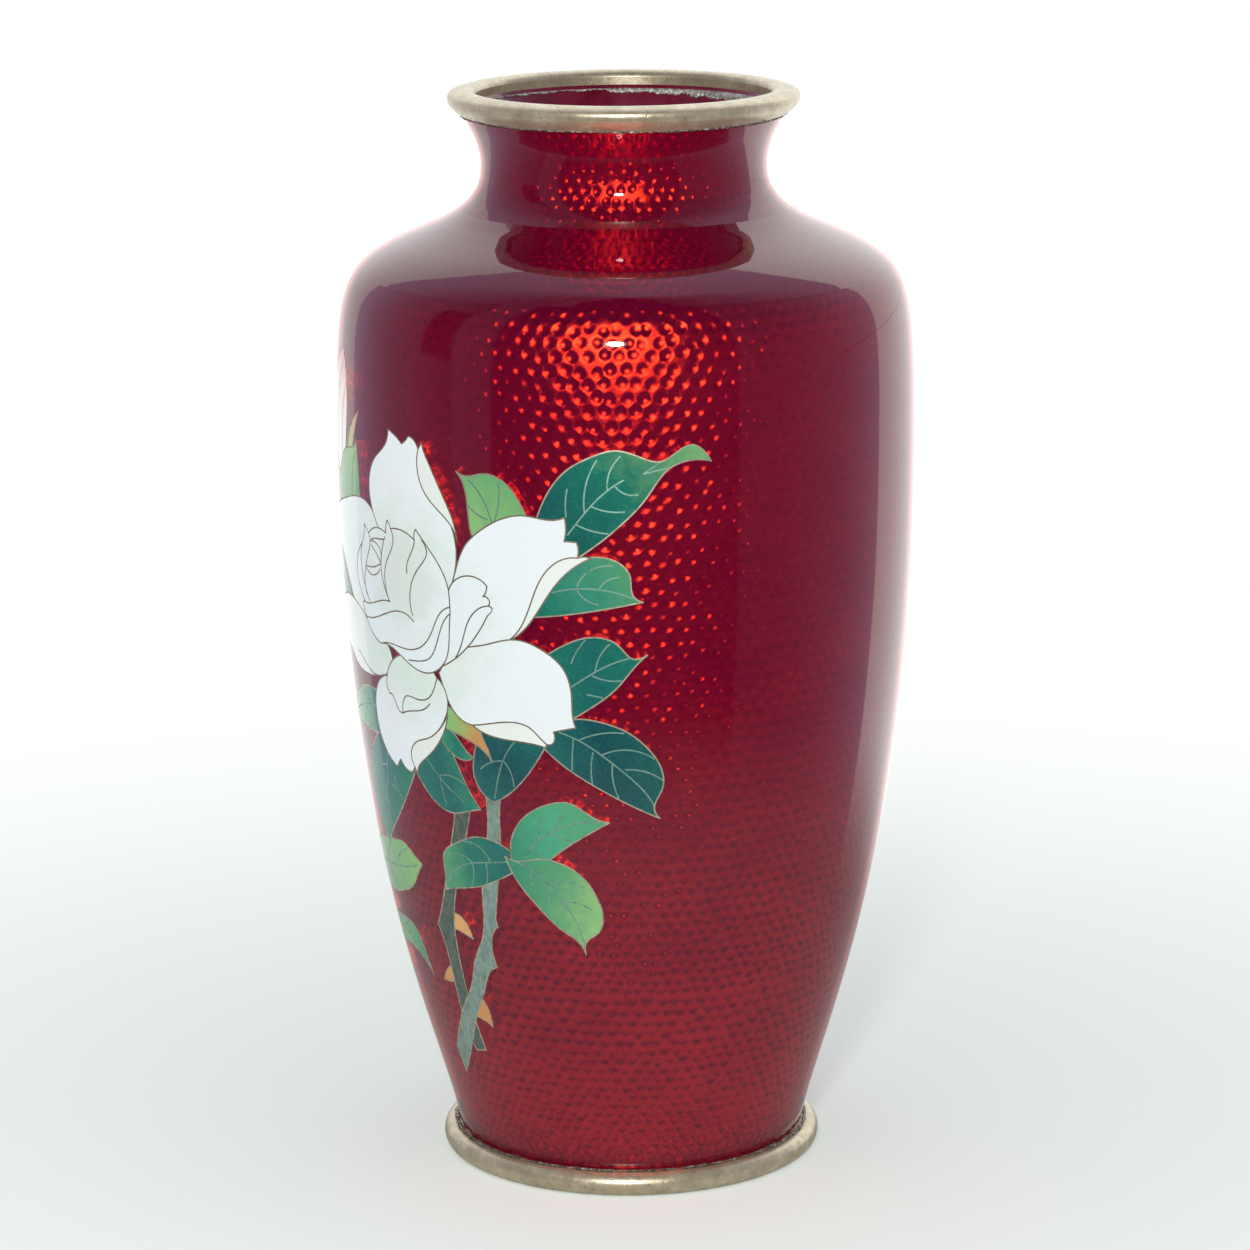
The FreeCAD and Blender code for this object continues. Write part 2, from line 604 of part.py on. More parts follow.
def leaf_curled():
    upper = [(27.8, 120), (30, 125.3), (33, 129), (37, 131.3), (41, 132.4), (45.5, 131.1), (48, 130.5),
             (51.3, 132.3), (53.5, 133.1), (55.5, 131.8), (56.5, 130.3)]
    lower = [(56.5, 130.3), (53, 130.6), (50, 129.6), (46, 124.7), (42, 120.4), (38, 117), (34, 114.2)]
    veins = [[(33.2, 118.5), (37, 123.3), (39.7, 125.9), (42.3, 127.6)], [(33, 121.5), (32.9, 123.5),
                                                                          (33.2, 126)],
             [(36, 122.2), (35.9, 124.5), (36.3, 127), (38, 130.8)], [(39.7, 126), (39.8, 128),
                                                                      (41.8, 131.5)],
             [(34.5, 120.3), (36, 119.6), (39.7, 118.8)], [(37, 123.3), (39, 122.6), (42.4, 122.4)],
             [(41, 126.5), (43, 125.2), (44.5, 125.2)], [(45.5, 128.6), (48, 130.3)], [(45.5, 128.6),
                                                                                       (50, 129.6)]]
    return leaf("leaf_curled", upper, lower, [(34, 114.2), (30, 115), (27.8, 120)], veins)


def leaf_light_top():
    left = [(17, 116), (15.7, 122), (14.8, 126), (13.6, 127.6)]
    right = [(13.6, 127.6), (15.2, 127), (19, 127.7), (22, 126.9), (24.8, 124), (26.8, 120)]
    veins = [[(16, 126.4), (17.5, 125), (19, 122.8), (20.3, 119.5)], [(21.5, 126.5), (21.6, 124),
                                                                      (20.7, 120)],
             [(15.7, 122.3), (17, 121.2), (19.4, 120.2)]]
    return leaf("leaf_light_top", left, right, [(26.8, 120), (23, 117), (17, 116)], veins)


def leaf_pale_left():
    upper = [(-9.5, 86.3), (-14, 86.6), (-20, 85), (-23.5, 82.7), (-27, 79.5)]
    lower = [(-27, 79.5), (-22, 79), (-17, 78.6), (-9, 79.5)]
    veins = [[(-9, 83.5), (-15, 83.2), (-20, 82), (-25, 80.2)], [(-14, 83.3), (-16.5, 84.6), (-18.4, 85)],
             [(-15.5, 83), (-17.5, 81.5), (-19, 79.4)]]
    return leaf("leaf_pale_left", upper, lower, [(-9, 79.5), (-8.5, 83), (-9.5, 86.3)], veins)


def leaf_left_middle():
    upper = [(-17, 99), (-23, 105), (-28, 107.6), (-33, 107.4), (-37.5, 104.8)]
    lower = [(-37.5, 104.8), (-34, 102.6), (-30, 99), (-26, 97.5)]
    veins = [[(-24, 101.5), (-29, 104), (-35, 104.9)]]
    return leaf("leaf_left_middle", upper, lower, [(-26, 97.5), (-17, 99)], veins)


def leaf_left_large():
    right = [(0, 75), (-2, 72), (-5.5, 67.8), (-10, 63.5), (-14, 60.2), (-15.7, 58.2)]
    left = [(-15.7, 58.2), (-18, 61), (-20.5, 66), (-20, 71), (-17, 75), (-12, 79)]
    veins = [[(-9, 78), (-11, 71), (-13.4, 65), (-15.5, 60.2)], [(-11.2, 70.5), (-9, 70.2), (-5.8, 68.4)],
             [(-12.6, 67), (-11.3, 65.4), (-10.7, 64.2)], [(-10.2, 73.6), (-14, 73), (-18.2, 73.2)],
             [(-12.2, 68), (-15.6, 66.8), (-20.4, 67.4)], [(-8, 72), (-6.6, 69)]]
    return leaf("leaf_left_large", right, left, [(-12, 79), (-5, 79), (0, 75)], veins)


def leaf_left_light():
    upper = [(-33, 52.5), (-27, 56.5), (-20, 58.7), (-13, 59.6), (-8, 59.9), (-5.5, 58.7), (-2.7, 57.2)]
    lower = [(-2.7, 57.2), (-5, 55), (-8, 52.3), (-13, 50.4), (-19, 49), (-26, 49.2), (-33, 52.5)]
    veins = [[(-30, 52.6), (-20, 54), (-12, 55), (-4.2, 56.8)], [(-14, 54.8), (-11.4, 57.3), (-8, 58.9)],
             [(-20, 54), (-18, 56.5), (-15, 58.6)], [(-12.5, 54.9), (-11.6, 52.6), (-9.6, 51.8)],
             [(-19, 54.1), (-18.4, 51.6), (-16.4, 50)]]
    return Motif("leaf_left_light", "leaf_outline_wires", [upper, lower], veins, "leaf_vein_wires")


def leaf_left_foot():
    upper = [(-30, 42.5), (-25, 43.8), (-18, 44.5), (-13.5, 44.5), (-10.5, 43), (-9.3, 40.5), (-8, 36)]
    lower = [(-8, 36), (-12, 38.8), (-17, 39.7), (-24, 39.3), (-30, 42.5)]
    veins = [[(-27, 42), (-18, 42.2), (-12, 40.8), (-8.6, 37.2)], [(-19, 42.2), (-17, 43.4),
                                                                   (-14.6, 44.3)],
             [(-17, 42.1), (-15.5, 40.8), (-13.8, 39.4)]]
    return Motif("leaf_left_foot", "leaf_outline_wires", [upper, lower], veins, "leaf_vein_wires")


def leaf_stem_right():
    right = [(19.2, 62.3), (22, 61.7), (26, 62.5), (30, 62), (34, 59.8), (36.7, 56), (37.7, 52),
             (36.6, 49.6),
             (34.9, 48.5), (34.1, 45.6)]
    left = [(34.1, 45.6), (32.5, 48), (29.5, 49.9), (25.5, 53.4), (21.5, 57.8), (19.2, 62.3)]
    veins = [[(19.8, 61.9), (24, 60.5), (27.8, 57.7), (31, 54), (33.3, 49.5), (34, 46.8)],
             [(27.5, 58.2), (29.5, 58.7), (34.2, 57.8)], [(30.2, 55), (32, 55.1), (35.5, 53.9)],
             [(24.3, 60.2), (24.2, 57)], [(27.7, 57.6), (27.3, 54)]]
    return Motif("leaf_stem_right", "leaf_outline_wires", [right, left], veins, "leaf_vein_wires")


def leaf_stem_top():
    upper = [(20.5, 62), (21.5, 67), (24.5, 70.4), (28.5, 72.4), (32.3, 72.8), (35.2, 71.2), (39.3, 69.6)]
    lower = [(39.3, 69.6), (34.5, 66.9), (30.5, 64.3), (27, 61.5)]
    veins = [[(23.5, 62.5), (26, 65.8), (29.7, 68), (33, 69.2), (37.5, 69.5)], [(26.3, 66), (26.5, 68),
                                                                                (27.2, 70.3)],
             [(29.7, 68), (30.2, 69.5), (31, 70.5)], [(28.7, 67.2), (30.5, 66.5), (32.5, 66.1)]]
    return leaf("leaf_stem_top", upper, lower, [(27, 61.5), (23, 60.5), (20.5, 62)], veins)


def leaf_stem_left():
    upper = [(21, 63), (18, 64.5), (14, 65.1), (8, 63), (4.7, 60.7), (4.2, 57.5), (3.6, 54)]
    lower = [(3.6, 54), (7, 54.8), (13, 56.1), (17, 57.7), (21, 59.8)]
    veins = [[(19.5, 61.4), (16, 60.8), (11, 59.9), (7, 58), (4.4, 54.9)], [(15.9, 61), (14.5, 62.8),
                                                                            (10.2, 63.8)],
             [(11.7, 60.2), (9, 61.3), (6.5, 61)], [(14.9, 60.4), (14.9, 58.5), (14.5, 57)],
             [(11.7, 59.9), (11.7, 58), (10.8, 55.9)]]
    return leaf("leaf_stem_left", upper, lower, [(21, 59.8), (22, 61.5), (21, 63)], veins)


# ---------------------------------------------------------------- stems and thorns

def main_stem():
    outline = [
        [(-5.6, 18.2), (-6.5, 22.8)],
        [(-6.5, 22.8), (-3, 26.8), (1.8, 32.3), (6, 37), (8.8, 42.5), (11.3, 46), (13.3, 56), (15.8, 65.2),
         (16.1, 74.5)],
        [(16.1, 74.5), (20, 74.5)],
        [(20, 74.5), (18.9, 70.2), (18.5, 64.8), (17.2, 57.8), (15.4, 50.4)],
        [(15.4, 50.4), (15.7, 49)],
        [(15.7, 49), (14.2, 47.5), (13.5, 45.3), (13.5, 43.2), (14.1, 41.3)],
        [(14.1, 41.3), (12.3, 40.5), (9.5, 36.5), (5, 30.5), (1.5, 25.5), (-2, 21.4), (-5.6, 18.2)],
    ]
    return Motif("main_stem", "stem_wires", outline)


def rear_stem():
    outline = [
        [(2.1, 23.7), (0.4, 29), (0.3, 37), (0, 43), (-1.1, 46.8)],
        [(-1.1, 46.8), (2, 51.5), (5, 58), (8, 65.5), (9.5, 71)],
        [(9.5, 71), (12.8, 70.5)],
        [(12.8, 70.5), (10.9, 64.6), (6.6, 54.7), (4.3, 48), (3.7, 42), (3.9, 34), (5.5, 24.3)],
        [(5.5, 24.3), (2.1, 23.7)],
    ]
    return Motif("rear_stem", "stem_wires", outline)


def side_stem():
    """A twig at the left that carries the light leaves and runs up behind the flower."""
    outline = [
        [(-31.5, 33), (-35, 45), (-37.2, 60), (-36.5, 78), (-33.5, 90), (-30, 97)],
        [(-30, 97), (-28.5, 96)],
        [(-28.5, 96), (-31.5, 89), (-34.4, 78), (-35, 60), (-32.8, 45), (-29.3, 33)],
        [(-29.3, 33), (-31.5, 33)],
    ]
    return Motif("side_stem", "stem_wires", outline)


def thorn(outline):
    return Motif("thorns", "stem_wires", outline)


def thorns():
    return [
        thorn([[(3, 49.8), (7, 49.2), (8.9, 45.8)], [(8.9, 45.8), (7, 46.4), (3, 47)], [(3, 47),
                                                                                        (3, 49.8)]]),
        thorn([[(2, 40), (-2, 37.8), (-3.7, 36)], [(-3.7, 36), (2, 36.3)], [(2, 36.3), (2, 40)]]),
        thorn([[(7, 35.5), (9.4, 32.5), (9.6, 29.4)], [(9.6, 29.4), (7.5, 30.3), (3.8, 30.7)],
               [(3.8, 30.7), (7, 35.5)]]),
    ]


def motifs():
    """The whole decoration, front to back."""
    flower = [heart_petals(), inner_petal_right(), petal_bottom_curl(), petal_bottom_edge(),
              petal_bottom(),
              petal_right_lower_edge(), petal_right_lower(), petal_right_upper_edge(), petal_right_upper(),
              petal_left_lower(), petal_top_edge(), petal_top(), petal_left_upper(), flower_sepal()]
    bud = [bud_calyx(), bud_sepal(), bud_petals()]
    leaves = [leaf_small(), leaf_below_flower(), leaf_centre(), leaf_right_middle(), leaf_right_low(),
              leaf_right_high(), leaf_curled(), leaf_light_top(), leaf_pale_left(), leaf_left_middle(),
              leaf_left_large(), leaf_left_light(), leaf_left_foot(), leaf_stem_right(), leaf_stem_top(),
              leaf_stem_left()]
    return flower + bud + leaves + [main_stem(), rear_stem(), side_stem()] + thorns()


# ---------------------------------------------------------------- build

def ground_enamel(covered):
    """The red ground: the whole glaze, with a window cut for the decoration."""
    glaze = layer(0, FOIL_DEPTH, GLAZE_FOOT_Z, GLAZE_TOP_Z)
    windows = [wrapped(face, -WINDOW_PROUD, FOIL_DEPTH + WINDOW_PROUD) for face in joined(covered).Faces]
    return glaze.cut(windows)


def build():
    body = [copper_body, base_plate, silver_foil, lining_enamel, base_enamel, mouth_ring, foot_ring,
            mouth_solder, foot_solder]
    nodes = {make.__name__: make() for make in body}
    seen, covered = lay_out(motifs())
    nodes["ground_enamel"] = ground_enamel([face for shape in covered for face in shape.Faces])
    for node, faces in seen.items():
        nodes[node] = Part.Compound([wrapped(face, 0, FOIL_DEPTH) for face in faces])
    return nodes


os.makedirs("parts", exist_ok=True)
for node, shape in build().items():
    shape.exportStep("parts/" + node + ".step")
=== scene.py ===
"""Looks of a foil-ground cloisonne vase: dimpled silver foil under red glass, wired enamels, worn rings.

Metres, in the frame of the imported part: the foot stands on z = 0, the axis is +Z, the spray faces -Y.
"""

import math

import bpy
import numpy as np
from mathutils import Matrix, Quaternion, Vector


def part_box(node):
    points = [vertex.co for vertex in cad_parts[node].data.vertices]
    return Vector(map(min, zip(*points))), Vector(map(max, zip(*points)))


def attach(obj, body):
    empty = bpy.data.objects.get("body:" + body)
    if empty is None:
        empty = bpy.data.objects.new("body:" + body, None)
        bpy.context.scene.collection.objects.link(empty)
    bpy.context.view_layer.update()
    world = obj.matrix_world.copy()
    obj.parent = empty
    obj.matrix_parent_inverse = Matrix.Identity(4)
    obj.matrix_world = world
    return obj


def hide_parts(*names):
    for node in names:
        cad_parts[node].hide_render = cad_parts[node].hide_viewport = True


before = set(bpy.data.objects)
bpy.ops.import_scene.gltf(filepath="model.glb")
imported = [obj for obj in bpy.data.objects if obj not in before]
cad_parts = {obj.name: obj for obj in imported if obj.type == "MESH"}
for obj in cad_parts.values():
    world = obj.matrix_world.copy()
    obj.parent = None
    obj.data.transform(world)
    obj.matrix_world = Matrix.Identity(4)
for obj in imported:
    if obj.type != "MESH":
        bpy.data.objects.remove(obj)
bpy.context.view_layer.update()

MM = 0.001
RANDOM = np.random.default_rng(1891)

# Foil: round pits in three bands, each (lowest height, pits in one turn, pit radius over pitch)
FOIL_COLUMNS = 900
FOIL_ROW = 0.35 * MM
FOIL_INNER_ROWS = 60
PIT_BANDS = [(4 * MM, 100, 0.50), (38 * MM, 118, 0.40), (163 * MM, 71, 0.36)]
PIT_DEPTH = 0.22 * MM
PIT_JITTER = 0.10
PIT_SLOPE_GAIN = 1.35
LOW_SLOPE_GAIN = 1.9
# Strength of the painted shade on each pit's lower rim
RIM_SHADE = 2.2

# Chipped band inside the mouth: the side where the lining has flaked most, and its place below the top
BAND_WORN_SIDE = math.radians(95)
BAND_BELOW_TOP = 3.0 * MM
BAND_COLUMNS = 1100

SEAM_COLUMNS = 1400
POLISH_SWELL = 0.048 * MM

# Floor, metres from the vase's axis
FLOOR_RADIUS = 60
FLOOR_SIDES = 64

# Room that polished surfaces see, in degrees: round the camera (walls), opposite it (backdrop), and up
BACKDROP_MIDDLE = 8.5
BACKDROP_HALF_WIDTH = 52.5
BACKDROP_TOP = 55
RIGHT_WALL = 45
LEFT_WALL = -53
PANEL_END = -72
WEDGE_END = -88
WEDGE_TOP = 35
ROOM_LEVEL = 0.02

# Flash windows, metres in the camera's own directions
FLASH_SIZE = (0.09, 0.06)
FLASH_PLACE = (-0.055, 0.10, 0)
FLASH_TILT = (math.radians(-7), math.radians(-4), 0)
FLASH_WATTS = 2.2
GLINT_WATTS = 4.4

# Camera, from the middle of the foot
CAMERA_DISTANCE = 0.7948
CAMERA_AZIMUTH = math.radians(50)
CAMERA_HEIGHT = 0.27685
CAMERA_PITCH = math.radians(13.07)
CAMERA_ROLL = math.radians(0.43)
CAMERA_LENS = 136.44
CAMERA_SHIFT = -0.002


# ---------------------------------------------------------------- shader building

def colour(red, green, blue):
    """Linear colour from display values of 0 to 255."""
    def linear(value):
        value = value / 255
        return value / 12.92 if value <= 0.04045 else ((value + 0.055) / 1.055) ** 2.4
    return (linear(red), linear(green), linear(blue), 1)


class Shader:
    """A node material built by short calls; each gives the socket that holds its result."""

    def __init__(self, name, tree=None):
        if tree is None:
            self.material = bpy.data.materials.new(name)
            self.material.use_nodes = True
            tree = self.material.node_tree
        self.tree = tree
        tree.nodes.clear()

    def node(self, kind, inputs=None, **settings):
        made = self.tree.nodes.new(kind)
        for name, value in settings.items():
            setattr(made, name, value)
        for socket, value in (inputs or {}).items():
            if isinstance(value, bpy.types.NodeSocket):
                self.tree.links.new(value, made.inputs[socket])
            else:
                made.inputs[socket].default_value = value
        return made

    def place(self, which="Object"):
        return self.node("ShaderNodeTexCoord").outputs[which]

    def parts_of(self, vector):
        return self.node("ShaderNodeSeparateXYZ", {0: vector}).outputs

    def calc(self, operation, first, second=0.0, third=0.0):
        return self.node("ShaderNodeMath", {0: first, 1: second, 2: third}, operation=operation).outputs[0]

    def vector(self, operation, first, second=(0, 0, 0)):
        node = self.node("ShaderNodeVectorMath", {0: first, 1: second}, operation=operation)
        return node.outputs["Value" if operation in ("DOT_PRODUCT", "LENGTH", "DISTANCE") else "Vector"]

    def noise(self, where, per_metre, detail=2.0, roughness=0.5, warp=0.0):
        inputs = {"Vector": where, "Scale": per_metre, "Detail": detail, "Roughness": roughness,
                  "Distortion": warp}
        return self.node("ShaderNodeTexNoise", inputs).outputs["Fac"]

    def cells(self, where, per_metre):
        inputs = {"Vector": where, "Scale": per_metre}
        return self.node("ShaderNodeTexVoronoi", inputs, feature="F1").outputs["Distance"]

    def ranged(self, value, low, high, new_low=0.0, new_high=1.0, smooth=False):
        kind = "SMOOTHSTEP" if smooth else "LINEAR"
        inputs = {"Value": value, "From Min": low, "From Max": high,
                  "To Min": new_low, "To Max": new_high}
        return self.node("ShaderNodeMapRange", inputs, interpolation_type=kind).outputs["Result"]

    def ramp(self, value, stops):
        """Colours along a value: [(position, colour), ...]."""
        node = self.node("ShaderNodeValToRGB", {"Fac": value})
        elements = node.color_ramp.elements
        while len(elements) < len(stops):
            elements.new(0.5)
        for element, (position, shade) in zip(elements, stops):
            element.position = position
            element.color = shade
        return node.outputs["Color"]

    def mix(self, factor, first, second, kind="MIX"):
        inputs = {0: factor, 6: first, 7: second}
        return self.node("ShaderNodeMix", inputs, data_type="RGBA", blend_type=kind).outputs[2]

    def grey(self, value):
        return self.node("ShaderNodeCombineXYZ", {0: value, 1: value, 2: value}).outputs[0]

    def blend(self, factor, first, second):
        return self.node("ShaderNodeMixShader", {0: factor, 1: first, 2: second}).outputs[0]

    def bump(self, height, distance, strength=1.0, under=None):
        inputs = {"Height": height, "Distance": distance, "Strength": strength}
        if under is not None:
            inputs["Normal"] = under
        return self.node("ShaderNodeBump", inputs).outputs["Normal"]

    def finish(self, surface):
        self.node("ShaderNodeOutputMaterial", {"Surface": surface})
        return self.material

    def principled(self, **inputs):
        named = {name.replace("_", " "): value for name, value in inputs.items()}
        return self.finish(self.node("ShaderNodeBsdfPrincipled", named).outputs[0])


def dressed(obj, material):
    """Gives a piece its material."""
    obj.data.materials.clear()
    obj.data.materials.append(material)
    return obj


# ---------------------------------------------------------------- enamels

def polished(s, where, tint):
    """The common finish of a ground and polished enamel in the given colour."""
    hairlines = s.noise(where, 900, 4, 0.7)
    swell = s.noise(where, 70, 1)
    return s.principled(
        Base_Color=tint,
        Roughness=s.ranged(hairlines, 0.3, 0.75, 0.03, 0.10),
        IOR=1.5,
        Normal=s.bump(swell, POLISH_SWELL, 0.5),
    )


def speckled(s, where, tint, light, dark, amount):
    """Fine grains of lighter and darker glass in an enamel."""
    grains = s.noise(where, 3200, 3, 0.65)
    tint = s.mix(s.ranged(grains, 0.56, 0.74, 0, amount), tint, light)
    return s.mix(s.ranged(grains, 0.42, 0.28, 0, amount), tint, dark)


def leaf_enamel(name, base, middle, tip, across=1.0, up=0.0, offset=0.0):
    """Mottled leaf enamel that shades from base to tip over the leaf's own box.

    across and up weigh the two directions of the box, so the shading can run along any leaf.
    """
    s = Shader(name)
    where = s.place()
    box = s.parts_of(s.place("Generated"))
    run = s.calc("ADD", s.calc("MULTIPLY", box[0], across), s.calc("MULTIPLY", box[2], up))
    clouds = s.noise(where, 330, 4, 0.6, 0.4)
    run = s.calc("ADD", run, s.ranged(clouds, 0.3, 0.7, offset - 0.10, offset + 0.10))
    tint = s.ramp(run, [(0.08, base), (0.5, middle), (0.95, tip)])
    patches = s.noise(where, 800, 3, 0.6)
    tint = s.mix(s.ranged(patches, 0.45, 0.75, 0, 0.14), tint, colour(18, 66, 70))
    tint = speckled(s, where, tint, colour(120, 190, 165), colour(10, 48, 52), 0.22)
    return polished(s, where, tint)


def petal_enamel(name, edge, shade, heart_height, reach, amount):
    """White petal enamel, shaded pale green-grey towards the heart of the flower."""
    s = Shader(name)
    where = s.place()
    heart = (0, -48.5 * MM, heart_height)
    away = s.vector("DISTANCE", where, heart)
    clouds = s.noise(where, 260, 3, 0.6, 0.3)
    away = s.calc("ADD", away, s.ranged(clouds, 0.3, 0.7, -3 * MM, 3 * MM))
    depth = s.ranged(away, reach, reach * 0.35, 0, amount, True)
    tint = s.mix(depth, edge, shade)
    cream = s.noise(where, 420, 3, 0.55)
    tint = s.mix(s.ranged(cream, 0.55, 0.8, 0, 0.35), tint, colour(232, 234, 214))
    tint = speckled(s, where, tint, colour(250, 252, 252), colour(196, 205, 198), 0.25)
    return polished(s, where, tint)


def stem_enamel(name, base, streak, moss):
    """Bark-like enamel with lengthwise streaks."""
    s = Shader(name)
    where = s.place()
    drawn_out = s.vector("MULTIPLY", where, (1.0, 1.0, 0.3))
    streaks = s.noise(drawn_out, 1500, 4, 0.65)
    clouds = s.noise(where, 420, 3)
    tint = s.mix(s.ranged(streaks, 0.4, 0.65), base, streak)
    tint = s.mix(s.ranged(clouds, 0.5, 0.7, 0, 0.7), tint, moss)
    tint = speckled(s, where, tint, colour(165, 182, 172), colour(52, 60, 56), 0.4)
    return polished(s, where, tint)


def ochre_enamel(name, low, high):
    """Warm enamel of the thorns and sepal tips, shading up the piece."""
    s = Shader(name)
    where = s.place()
    up = s.parts_of(s.place("Generated"))[2]
    clouds = s.noise(where, 500, 3)
    run = s.calc("ADD", up, s.ranged(clouds, 0.3, 0.7, -0.2, 0.2))
    tint = s.mix(s.ranged(run, 0.2, 0.9), low, high)
    tint = speckled(s, where, tint, colour(232, 190, 140), colour(120, 78, 48), 0.4)
    return polished(s, where, tint)


def sepal_enamel():
    """The sepal under the flower: green at its root, ochre at its tip."""
    s = Shader("flower_sepal")
    where = s.place()
    box = s.parts_of(s.place("Generated"))
    clouds = s.noise(where, 500, 3)
    run = s.calc("ADD", box[0], s.ranged(clouds, 0.3, 0.7, -0.12, 0.12))
    stops = [(0.25, colour(134, 182, 112)), (0.5, colour(160, 165, 100)), (0.72, colour(192, 140, 84))]
    tint = s.ramp(run, stops)
    tint = speckled(s, where, tint, colour(210, 200, 140), colour(90, 110, 60), 0.35)
    return polished(s, where, tint)


def bud_petal_enamel():
    """Bud petals: white below, flushed pink at the tip."""
    s = Shader("bud_petals")
    where = s.place()
    up = s.parts_of(s.place("Generated"))[2]
    clouds = s.noise(where, 350, 3)
    run = s.calc("ADD", up, s.ranged(clouds, 0.3, 0.7, -0.1, 0.1))
    stops = [(0.35, colour(236, 238, 234)), (0.65, colour(240, 214, 208)), (0.95, colour(222, 140, 140))]
    tint = s.ramp(run, stops)
    tint = speckled(s, where, tint, colour(250, 246, 246), colour(200, 170, 168), 0.25)
    return polished(s, where, tint)


def lining_enamel():
    """Fire-polished counter-enamel, uneven in depth, with small craters."""
    s = Shader("lining_enamel")
    where = s.place()
    clouds = s.noise(where, 90, 4, 0.6, 0.5)
    stops = [(0.3, colour(84, 8, 30)), (0.5, colour(116, 14, 44)), (0.72, colour(136, 36, 70))]
    tint = s.ramp(clouds, stops)
    craters = s.ranged(s.cells(where, 420), 0.0, 0.22)
    tint = s.mix(craters, colour(40, 10, 22), tint)
    swell = s.bump(s.noise(where, 140, 2), 0.25 * MM, 0.6)
    return s.principled(Base_Color=tint, Roughness=s.ranged(clouds, 0.3, 0.7, 0.12, 0.3), IOR=1.5,
                        Normal=s.bump(craters, 0.08 * MM, 0.6, swell))


# ---------------------------------------------------------------- red glass and foil

def outer_face(s):
    """1 on the faces that look away from the axis, 0 on those that look towards it."""
    geometry = s.node("ShaderNodeNewGeometry").outputs
    level = s.vector("MULTIPLY", geometry["Position"], (1, 1, 0))
    outwards = s.vector("DOT_PRODUCT", level, geometry["True Normal"])
    turned = s.calc("MULTIPLY_ADD", geometry["Backfacing"], -2.0, 1.0)
    return s.calc("GREATER_THAN", s.calc("MULTIPLY", outwards, turned), 0.0), geometry["Backfacing"]


def red_glass():
    """Transparent crimson enamel: it tints what passes, and its polished outer face mirrors the room."""
    s = Shader("red_enamel")
    where = s.place()
    outer, behind = outer_face(s)
    depth = s.noise(where, 55, 3, 0.55)
    tint = s.mix(s.ranged(depth, 0.3, 0.7), colour(214, 98, 74), colour(232, 116, 82))
    swell = s.bump(s.noise(where, 55, 1), 0.05 * MM, 0.5)
    clear = s.node("ShaderNodeBsdfTransparent", {"Color": (1, 1, 1, 1)}).outputs[0]
    stained = s.node("ShaderNodeBsdfTransparent", {"Color": tint}).outputs[0]
    bubbles = s.noise(where, 1500, 2)
    body_tint = s.mix(s.ranged(bubbles, 0.4, 0.7), colour(158, 6, 70), colour(176, 12, 84))
    body = s.node("ShaderNodeBsdfDiffuse", {"Color": body_tint}).outputs[0]
    dust = s.ranged(s.noise(where, 2600, 3, 0.7), 0.3, 0.75, 0.17, 0.27)
    glass = s.blend(dust, stained, body)
    wear = s.ranged(s.noise(where, 400, 5, 0.7), 0.35, 0.75, 0.0, 0.06)
    mirror = {"Color": (1, 1, 1, 1), "Roughness": wear, "Normal": swell}
    shine = s.node("ShaderNodeBsdfGlossy", mirror).outputs[0]
    fresnel = s.node("ShaderNodeFresnel", {"IOR": 1.5, "Normal": swell}).outputs[0]
    facing = s.calc("SUBTRACT", 1.0, behind)
    skin = s.blend(s.calc("MULTIPLY", fresnel, facing), glass, shine)
    return s.finish(s.blend(outer, clear, skin))


def foil_metal():
    """Bright silver foil, a little crinkled and patchy, with painted shade on each pit's lower rim."""
    s = Shader("silver_foil")
    where = s.place()
    patches = s.noise(where, 120, 4, 0.6)
    waves = s.bump(s.noise(where, 330, 2), 0.16 * MM, 0.6)
    crinkle = s.bump(s.noise(where, 1500, 3, 0.6), 0.04 * MM, 0.6, waves)
    tint = s.mix(s.ranged(patches, 0.35, 0.7), colour(244, 232, 220), colour(226, 205, 190))
    # Painted shade: each pit's lower rim is tinted dark purple, strongly below 45 mm and weakly above 80 mm.
    painted_rim_shade = s.node("ShaderNodeAttribute", attribute_name="painted_rim_shade").outputs["Fac"]
    height = s.parts_of(where)[2]
    depth = s.calc("MULTIPLY", painted_rim_shade, s.ranged(height, 45 * MM, 80 * MM, 0.9, 0.3))
    tint = s.mix(depth, tint, colour(96, 60, 110))
    rough = s.ranged(patches, 0.3, 0.7, 0.33, 0.39)
    metal = {"Base Color": tint, "Metallic": 1.0, "Roughness": rough, "Normal": crinkle}
    satin = s.node("ShaderNodeBsdfPrincipled", metal).outputs[0]
    mirror = {"Color": tint, "Roughness": rough, "Normal": crinkle}
    glint = s.node("ShaderNodeBsdfAnisotropic", mirror, distribution="BECKMANN").outputs[0]
    return s.finish(s.blend(0.92, satin, glint))


# ---------------------------------------------------------------- metals

def wire_metal(name, bright, dull):
    """Flat wire ground flush: satin, scratched, darker where tarnish has crept in."""
    s = Shader(name)
    where = s.place()
    tarnish = s.noise(where, 900, 4, 0.65)
    tint = s.mix(s.ranged(tarnish, 0.4, 0.68), bright, dull)
    scratches = s.bump(s.noise(where, 6000, 3, 0.7), 0.01 * MM, 0.4)
    return s.principled(Base_Color=tint, Metallic=0.75, Roughness=s.ranged(tarnish, 0.3, 0.7, 0.34, 0.6),
                        Normal=scratches)


